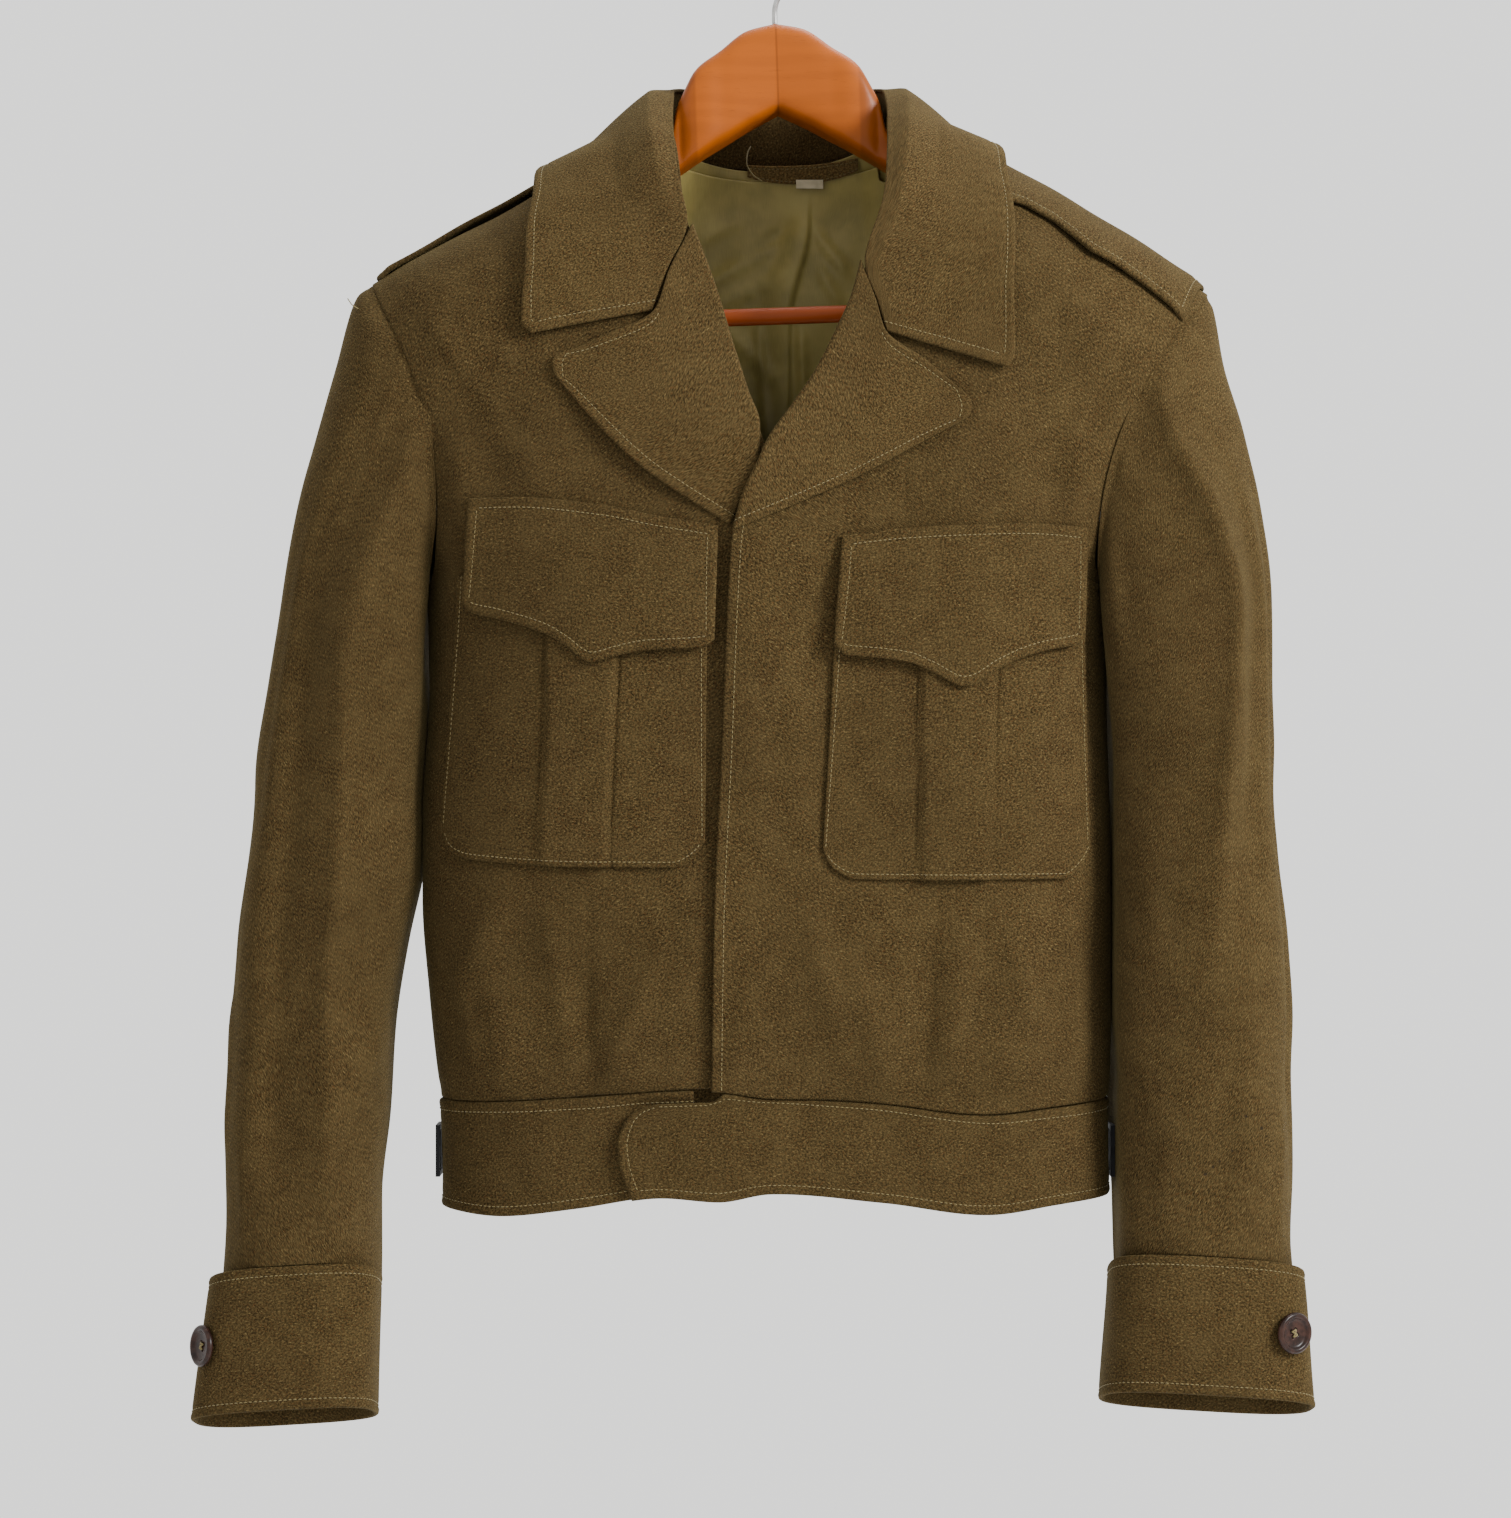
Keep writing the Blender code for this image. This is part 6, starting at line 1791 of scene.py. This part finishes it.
def holed(f, spots, colour):
    """Darken a finish round listed places of the front, as moths have eaten it."""
    mask = None
    for x, z, radius in spots:
        off = f.add("ShaderNodeVectorMath", dict(operation="MULTIPLY_ADD"),
                    (f.place, (1, 0, 1), (-x * MM, 0, -z * MM)))
        far = f.add("ShaderNodeVectorMath", dict(operation="LENGTH"), (off,), 1)
        ragged = f.noise(f.place, 900.0, 1.0) * 0.0009
        spot = 1 - (far + ragged).near(radius * 0.55 * MM, (radius * 0.55 + 0.7) * MM)
        mask = spot if mask is None else mask.joined("MAXIMUM", spot)
    front = f.parts(f.place)[1].joined("LESS_THAN", -0.02)
    mask = mask * front
    old = f.shader.inputs["Base Color"].links[0].from_socket
    f.give("Base Color", f.mixed(mask * 0.8, Socket(f, old), colour))
    return f


def satin_finish(name, colour):
    """Lining satin: fine vertical threads, slow changes of tone, a soft gloss and painted shade, nearly
    black low in the body.
    """
    f = Finish(name, Sheen_Weight=0.08, Sheen_Roughness=0.35, Specular_IOR_Level=0.2, Anisotropic=0.5)
    threads = f.noise(f.stretched(f.surface, 3200, 120, 1), 1.0, 2.0, 0.6)
    slow = f.noise(f.place, 25.0, 3.0, 0.6)
    base = f.mixed(slow.near(0.3, 0.7), shade(colour, 0.78), shade(colour, 1.25))
    base = f.mixed(threads.near(0.35, 0.7) * 0.3, base, shade(colour, 1.4))
    # Painted shade: below the neck's vee the satin fades to near black, for the deep shade inside the body.
    base = f.mixed(f.parts(f.place)[2].near(-0.33, -0.23), shade(colour, 0.05), base)
    f.give("Base Color", base)
    f.give("Roughness", 0.36 + threads * 0.16)
    f.bump(threads + slow * 0.4, 0.0002, 0.35)
    return f


def tape_finish(name, colour):
    """Woven tape: a plain weave of fine warp and weft."""
    f = Finish(name, Sheen_Weight=0.2, Specular_IOR_Level=0.2)
    across, down, _ = f.parts(f.surface)
    weave = (across * (2 * math.pi / 0.0009)).wave() * (down * (2 * math.pi / 0.0009)).wave()
    dirt = f.noise(f.place, 240.0, 3.0, 0.6)
    worn = dirt.near(0.35, 0.75) * 0.5 + weave * 0.08
    f.give("Base Color", f.mixed(worn, shade(colour, 1.05), shade(colour, 0.66)))
    f.give("Roughness", 0.86 + dirt * 0.1)
    f.bump(weave, 0.00015, 0.6)
    return f


def thread_finish(name, colour):
    """Sewing thread: a twisted pair of plies along each stitch."""
    f = Finish(name, Sheen_Weight=0.2, Specular_IOR_Level=0.3)
    ply = f.noise(f.place, 1800.0, 2.0, 0.7)
    slow = f.noise(f.place, 45.0, 2.0, 0.6)
    base = f.mixed(ply.near(0.3, 0.7), shade(colour, 0.6), shade(colour, 1.25))
    f.give("Base Color", f.mixed(slow.near(0.4, 0.75) * 0.4, base, shade(colour, 0.62)))
    f.give("Roughness", 0.7 + ply * 0.2)
    f.bump(ply, 0.0002, 0.6)
    return f


def wood_finish(name, colour, scale, mitre_and_shade):
    """Varnished wood: long wavering grain, fine pores and, on the arms, a mitred joint with painted shade
    beyond the crown's sides.
    """
    f = Finish(name, Coat_Weight=0.07, Coat_Roughness=0.25, Specular_IOR_Level=0.14)
    x, y, z = f.parts(f.place)
    wander = f.noise(f.stretched(f.place, 6, 40, 40), 1.0, 3.0, 0.55)
    grain = f.noise(f.stretched(f.place, 14, 260, 260), scale, 4.0, 0.6)
    rings = ((z * 560.0 + y * 330.0) + wander * 13.0 + x * 9.0).wave()
    pores = f.noise(f.stretched(f.place, 60, 1500, 1500), 1.0, 2.0, 0.7)
    base = f.mixed(rings.near(-0.9, 1.0) * 0.22 + grain * 0.3, shade(colour, 1.1), shade(colour, 0.74))
    base = f.mixed(pores.near(0.62, 0.72) * 0.3, base, shade(colour, 0.42))
    if mitre_and_shade:
        off = x + z * 0.034
        base = f.mixed(off.near(0.0000, 0.0008) * 0.16, base, shade(colour, 0.6))
        seam = 1 - (off - 0.0004).joined("ABSOLUTE").near(0.0002, 0.0009)
        base = f.mixed(seam * 0.5, base, shade(colour, 0.35))
        # Painted shade: the arms beyond the crown's sides are darker, for the shade the collar casts on
        # them.
        side = off.joined("ABSOLUTE").near(0.0465, 0.0485)
        base = f.mixed(side * 0.45, base, shade(colour, 0.42))
    f.give("Base Color", base)
    f.give("Roughness", 0.38 + grain * 0.16)
    f.bump(grain * 0.6 - pores.near(0.6, 0.75) * 0.6 + rings * 0.12, 0.0002, 0.3)
    return f


def metal_finish(name, colour, metallic, rough):
    """Drawn or blackened metal: fine scratches and a dull, uneven gloss."""
    f = Finish(name, Metallic=metallic, Specular_IOR_Level=0.2)
    scratch = f.noise(f.stretched(f.place, 900, 900, 160), 1.0, 3.0, 0.7)
    dull = f.noise(f.place, 160.0, 3.0, 0.6)
    f.give("Base Color", f.mixed(dull.near(0.35, 0.75) * 0.6, shade(colour, 1.1), shade(colour, 0.55)))
    f.give("Roughness", rough + dull * 0.2 + scratch * 0.08)
    f.bump(scratch, 0.0001, 0.4)
    return f


def button_finish(name, colour):
    """Moulded button plastic: dark swirls under a worn polish."""
    f = Finish(name, Coat_Weight=0.05, Coat_Roughness=0.15, Specular_IOR_Level=0.14)
    swirl = f.noise(f.place, 130.0, 4.0, 0.65)
    wear = f.noise(f.place, 700.0, 3.0, 0.7)
    base = f.mixed(swirl.near(0.35, 0.7), shade(colour, 0.6), shade(colour, 2.2))
    f.give("Base Color", base)
    f.give("Roughness", 0.22 + wear * 0.25)
    f.bump(wear, 0.0001, 0.25)
    return f


def floor_finish(name, colour):
    """Matt studio floor with the faintest unevenness."""
    f = Finish(name, Specular_IOR_Level=0.1)
    slow = f.noise(f.place, 1.2, 2.0, 0.5)
    f.give("Base Color", f.mixed(slow * 0.3, shade(colour, 1.0), shade(colour, 0.97)))
    f.give("Roughness", 0.9 + slow * 0.05)
    return f


class JacketColours(bpy.types.PropertyGroup):
    """Colours of the jacket's cloths and of the hanger, as linear values."""

    wool: FloatVectorProperty(
        name="Wool", description="Main tone of the serge", subtype="COLOR",
        default=(0.0355, 0.0235, 0.009))
    wool_fleck: FloatVectorProperty(
        name="Wool flecks", description="Light yarns in the serge", subtype="COLOR",
        default=(0.125, 0.090, 0.036))
    satin: FloatVectorProperty(
        name="Lining", description="Olive satin of the lining", subtype="COLOR",
        default=(0.235, 0.190, 0.060))
    tape: FloatVectorProperty(
        name="Neck tab", description="Cream tape inside the neck", subtype="COLOR",
        default=(0.46, 0.40, 0.27))
    thread: FloatVectorProperty(
        name="Thread", description="Yellow-olive sewing thread", subtype="COLOR",
        default=(0.125, 0.094, 0.028))
    wood: FloatVectorProperty(
        name="Hanger wood", description="Honey-coloured varnished wood", subtype="COLOR",
        default=(0.24, 0.052, 0.0008))
    dowel: FloatVectorProperty(
        name="Trouser bar", description="Red-brown stained dowel", subtype="COLOR",
        default=(0.26, 0.045, 0.004))


class JacketStage(bpy.types.PropertyGroup):
    """The floor and lights round the jacket."""

    floor_drop: FloatProperty(
        name="Floor drop", description="Distance of the floor below the hook", unit="LENGTH",
        default=1.35)
    floor_radius: FloatProperty(
        name="Floor radius", description="Half width of the round floor", unit="LENGTH", default=1.5)
    key_power: FloatProperty(
        name="Main light", description="Power of the large upper light in watts", default=124.0)
    world_light: FloatProperty(
        name="World light", description="Strength of the pale world", default=1.5)


class JACKET_OT_finishes(bpy.types.Operator):
    """Mix the cloths, thread, woods, metals and plastic"""

    bl_idname = "jacket.finishes"
    bl_label = "Finishes"

    def execute(self, context):
        colours = context.scene.jacket_colours
        wool, light = tuple(colours.wool), tuple(colours.wool_fleck)
        # Painted light: the same serge made 1.16 times lighter for the lapels, the collar leaf and the
        # stand's outside.
        painted_brighter = tuple(1.16 * value for value in wool)
        FINISH["wool"] = wool_finish("wool_serge", wool, light, 1.0)
        FINISH["wool_painted_light"] = wool_finish("wool_serge_collar_painted_light", painted_brighter, light, 1.0)
        # Painted light: the same serge made three times lighter for the neck facing and the stand's inside,
        # against the shade under the collar and hanger.
        painted_paler = tuple(3.0 * value for value in wool)
        FINISH["wool_neck_painted_light"] = wool_finish("wool_serge_neck_painted_light", painted_paler, light, 1.0)
        FINISH["wool_left_sleeve"] = wool_finish("wool_serge_worn", wool, light, -1.0)
        holed(FINISH["wool_left_sleeve"], MOTH_HOLES, (0.012, 0.009, 0.006, 1))
        FINISH["satin"] = satin_finish("lining_satin", tuple(colours.satin))
        FINISH["tape"] = tape_finish("neck_tape", tuple(colours.tape))
        FINISH["thread"] = thread_finish("sewing_thread", tuple(colours.thread))
        FINISH["wood"] = wood_finish("hanger_maple", tuple(colours.wood), 1.0, True)
        FINISH["dowel"] = wood_finish("stained_dowel", tuple(colours.dowel), 2.0, False)
        FINISH["steel"] = metal_finish("hook_steel", (0.42, 0.42, 0.41), 1.0, 0.28)
        FINISH["black_metal"] = metal_finish("black_enamel", (0.006, 0.006, 0.007), 0.0, 0.5)
        FINISH["button"] = button_finish("button_plastic", (0.014, 0.006, 0.004))
        FINISH["floor"] = floor_finish("studio_floor", (0.86, 0.86, 0.86))
        for key, finish in list(FINISH.items()):
            FINISH[key] = finish.material
        return {"FINISHED"}


class JACKET_OT_body(bpy.types.Operator):
    """Make the fronts, the back and the waistband"""

    bl_idname = "jacket.body"
    bl_label = "Fronts, back and waistband"

    def execute(self, context):
        make_fronts()
        make_back()
        make_waistband()
        return {"FINISHED"}


class JACKET_OT_sleeves(bpy.types.Operator):
    """Make the sleeves, cuffs and cuff buttons"""

    bl_idname = "jacket.sleeves"
    bl_label = "Sleeves and cuffs"

    def execute(self, context):
        for side, which, turn, quarter in ((-1, "right", 0.095, 0.5), (1, "left", 0.135, 1.1)):
            make_sleeve(side, "sleeve_" + which + "_cloth", "sleeve_" + which)
            make_cuff(side, "cuff_" + which + "_cloth", "cuff_" + which)
            make_button(side, "cuff_button_" + which + "_sewn", "cuff_button_" + which, turn, 0.5, quarter)
        return {"FINISHED"}


class JACKET_OT_collar(bpy.types.Operator):
    """Make the collar, lapels, shoulder straps and pockets"""

    bl_idname = "jacket.collar"
    bl_label = "Collar, lapels, straps and pockets"

    def execute(self, context):
        for node, shape in LAPELS.items():
            make_lapel(node + "_cloth", node, shape)
        make_collar()
        for which, rows in POCKETS.items():
            make_pocket(which, rows)
            make_flap(which, rows)
        for node, size in STRAPS.items():
            make_strap(node + "_cloth", node, size)
        return {"FINISHED"}


class JACKET_OT_inside(bpy.types.Operator):
    """Make the lining, the neck facing, its tab and the loose threads"""

    bl_idname = "jacket.inside"
    bl_label = "Lining and neck"

    def execute(self, context):
        make_inside()
        make_loose_ends()
        return {"FINISHED"}


class JACKET_OT_hanger(bpy.types.Operator):
    """Make the hanger, its bar and hook, and finish the side buckles"""

    bl_idname = "jacket.hanger"
    bl_label = "Hanger and buckles"

    def execute(self, context):
        make_hanger()
        make_hook()
        for node in ("side_buckle_left", "side_buckle_right"):
            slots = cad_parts[node].material_slots
            for slot in slots:
                slot.material = FINISH["black_metal"]
        return {"FINISHED"}


class JACKET_OT_stage(bpy.types.Operator):
    """Set the camera, the pale floor and the soft lights"""

    bl_idname = "jacket.stage"
    bl_label = "Stage"

    def execute(self, context):
        stage = context.scene.jacket_stage
        make_camera()
        make_floor(stage.floor_drop, stage.floor_radius)
        make_lights(stage.key_power, stage.world_light)
        return {"FINISHED"}


class JACKET_PT_sidebar(bpy.types.Panel):
    """List the jacket's colours, stage and steps"""

    bl_label = "Ike jacket"
    bl_idname = "JACKET_PT_sidebar"
    bl_space_type = "VIEW_3D"
    bl_region_type = "UI"
    bl_category = "Jacket"

    def draw(self, context):
        for group in (context.scene.jacket_colours, context.scene.jacket_stage):
            box = self.layout.box()
            for name in group.__annotations__:
                box.prop(group, name)
        for step in STEPS:
            self.layout.operator(step.bl_idname)


def make_camera():
    """A level camera in front of the jacket, where the photograph was taken from."""
    data = bpy.data.cameras.new("photo_camera")
    data.lens = 72.0
    data.sensor_width = 36.0
    data.sensor_fit = "AUTO"
    camera = bpy.data.objects.new("photo_camera", data)
    camera.location = (-0.0092, -1.770, -0.489)
    camera.rotation_euler = (math.pi / 2, 0, 0)
    bpy.context.collection.objects.link(camera)
    bpy.context.scene.camera = camera


def make_floor(drop, radius):
    """A round floor below the jacket: rings of points in one plane, with a thin wall."""
    angle = np.arange(96) / 96 * 2 * math.pi
    rings = []
    for share, depth in ((1.0, 0.0), (1.0, -6.0)):
        rings.append(np.stack([radius * 1000 * share * np.cos(angle), radius * 1000 * share * np.sin(angle),
                               np.full(96, -drop * 1000 + depth)], axis=-1))
    rings = np.array(rings)
    points = rings.reshape(-1, 3) * MM
    mesh = bpy.data.meshes.new("floor")
    faces = [list(range(96)), list(range(191, 95, -1))]
    faces += [[k, k + 96, (k + 1) % 96 + 96, (k + 1) % 96] for k in range(96)]
    mesh.from_pydata(points.tolist(), [], faces)
    mesh.materials.append(FINISH["floor"])
    floor = bpy.data.objects.new("floor", mesh)
    bpy.context.collection.objects.link(floor)


def make_lights(power, world_light):
    """A large soft light on the right, a weak one on the left and one above, in a pale world."""
    places = (
        ("upper_right_light", (1.8, -1.3, 0.45), (0.05, 0.0, -0.42), 0.9, power),
        ("upper_left_light", (-1.7, -1.5, 0.5), (0.0, 0.0, -0.5), 1.6, power * 0.05),
        ("top_light", (0.3, 0.3, 1.1), (0.0, 0.0, -0.4), 1.2, power * 0.18),
    )
    for name, start, aim, size, watts in places:
        data = bpy.data.lights.new(name, "AREA")
        data.shape = "DISK"
        data.size = size
        data.energy = watts
        light = bpy.data.objects.new(name, data)
        light.location = start
        toward = Vector(aim) - Vector(start)
        light.rotation_euler = toward.to_track_quat("-Z", "Y").to_euler()
        bpy.context.collection.objects.link(light)
    world = bpy.data.worlds.new("pale_world")
    world.use_nodes = True
    back = world.node_tree.nodes["Background"]
    back.inputs["Color"].default_value = (1.0, 1.0, 0.985, 1)
    back.inputs["Strength"].default_value = world_light
    bpy.context.scene.world = world


STEPS = (
    JACKET_OT_finishes,
    JACKET_OT_body,
    JACKET_OT_sleeves,
    JACKET_OT_collar,
    JACKET_OT_inside,
    JACKET_OT_hanger,
    JACKET_OT_stage,
)
CLASSES = (JacketColours, JacketStage) + STEPS + (JACKET_PT_sidebar,)


def register():
    """Register the classes and hang the settings on the scene."""
    for item in CLASSES:
        bpy.utils.register_class(item)
    bpy.types.Scene.jacket_colours = PointerProperty(type=JacketColours)
    bpy.types.Scene.jacket_stage = PointerProperty(type=JacketStage)


def unregister():
    """Take the settings and classes away again."""
    del bpy.types.Scene.jacket_colours
    del bpy.types.Scene.jacket_stage
    for item in reversed(CLASSES):
        bpy.utils.unregister_class(item)


def main():
    """Make every piece in order."""
    register()
    bpy.ops.jacket.finishes()
    bpy.ops.jacket.body()
    bpy.ops.jacket.sleeves()
    bpy.ops.jacket.collar()
    bpy.ops.jacket.inside()
    bpy.ops.jacket.hanger()
    bpy.ops.jacket.stage()


def plain(box):
    """A box as plain lists of numbers."""
    return [[float(value) for value in corner] for corner in box]


if __name__ == "__main__":
    CAD_BOX = plain(CAD_BOX)
    main()
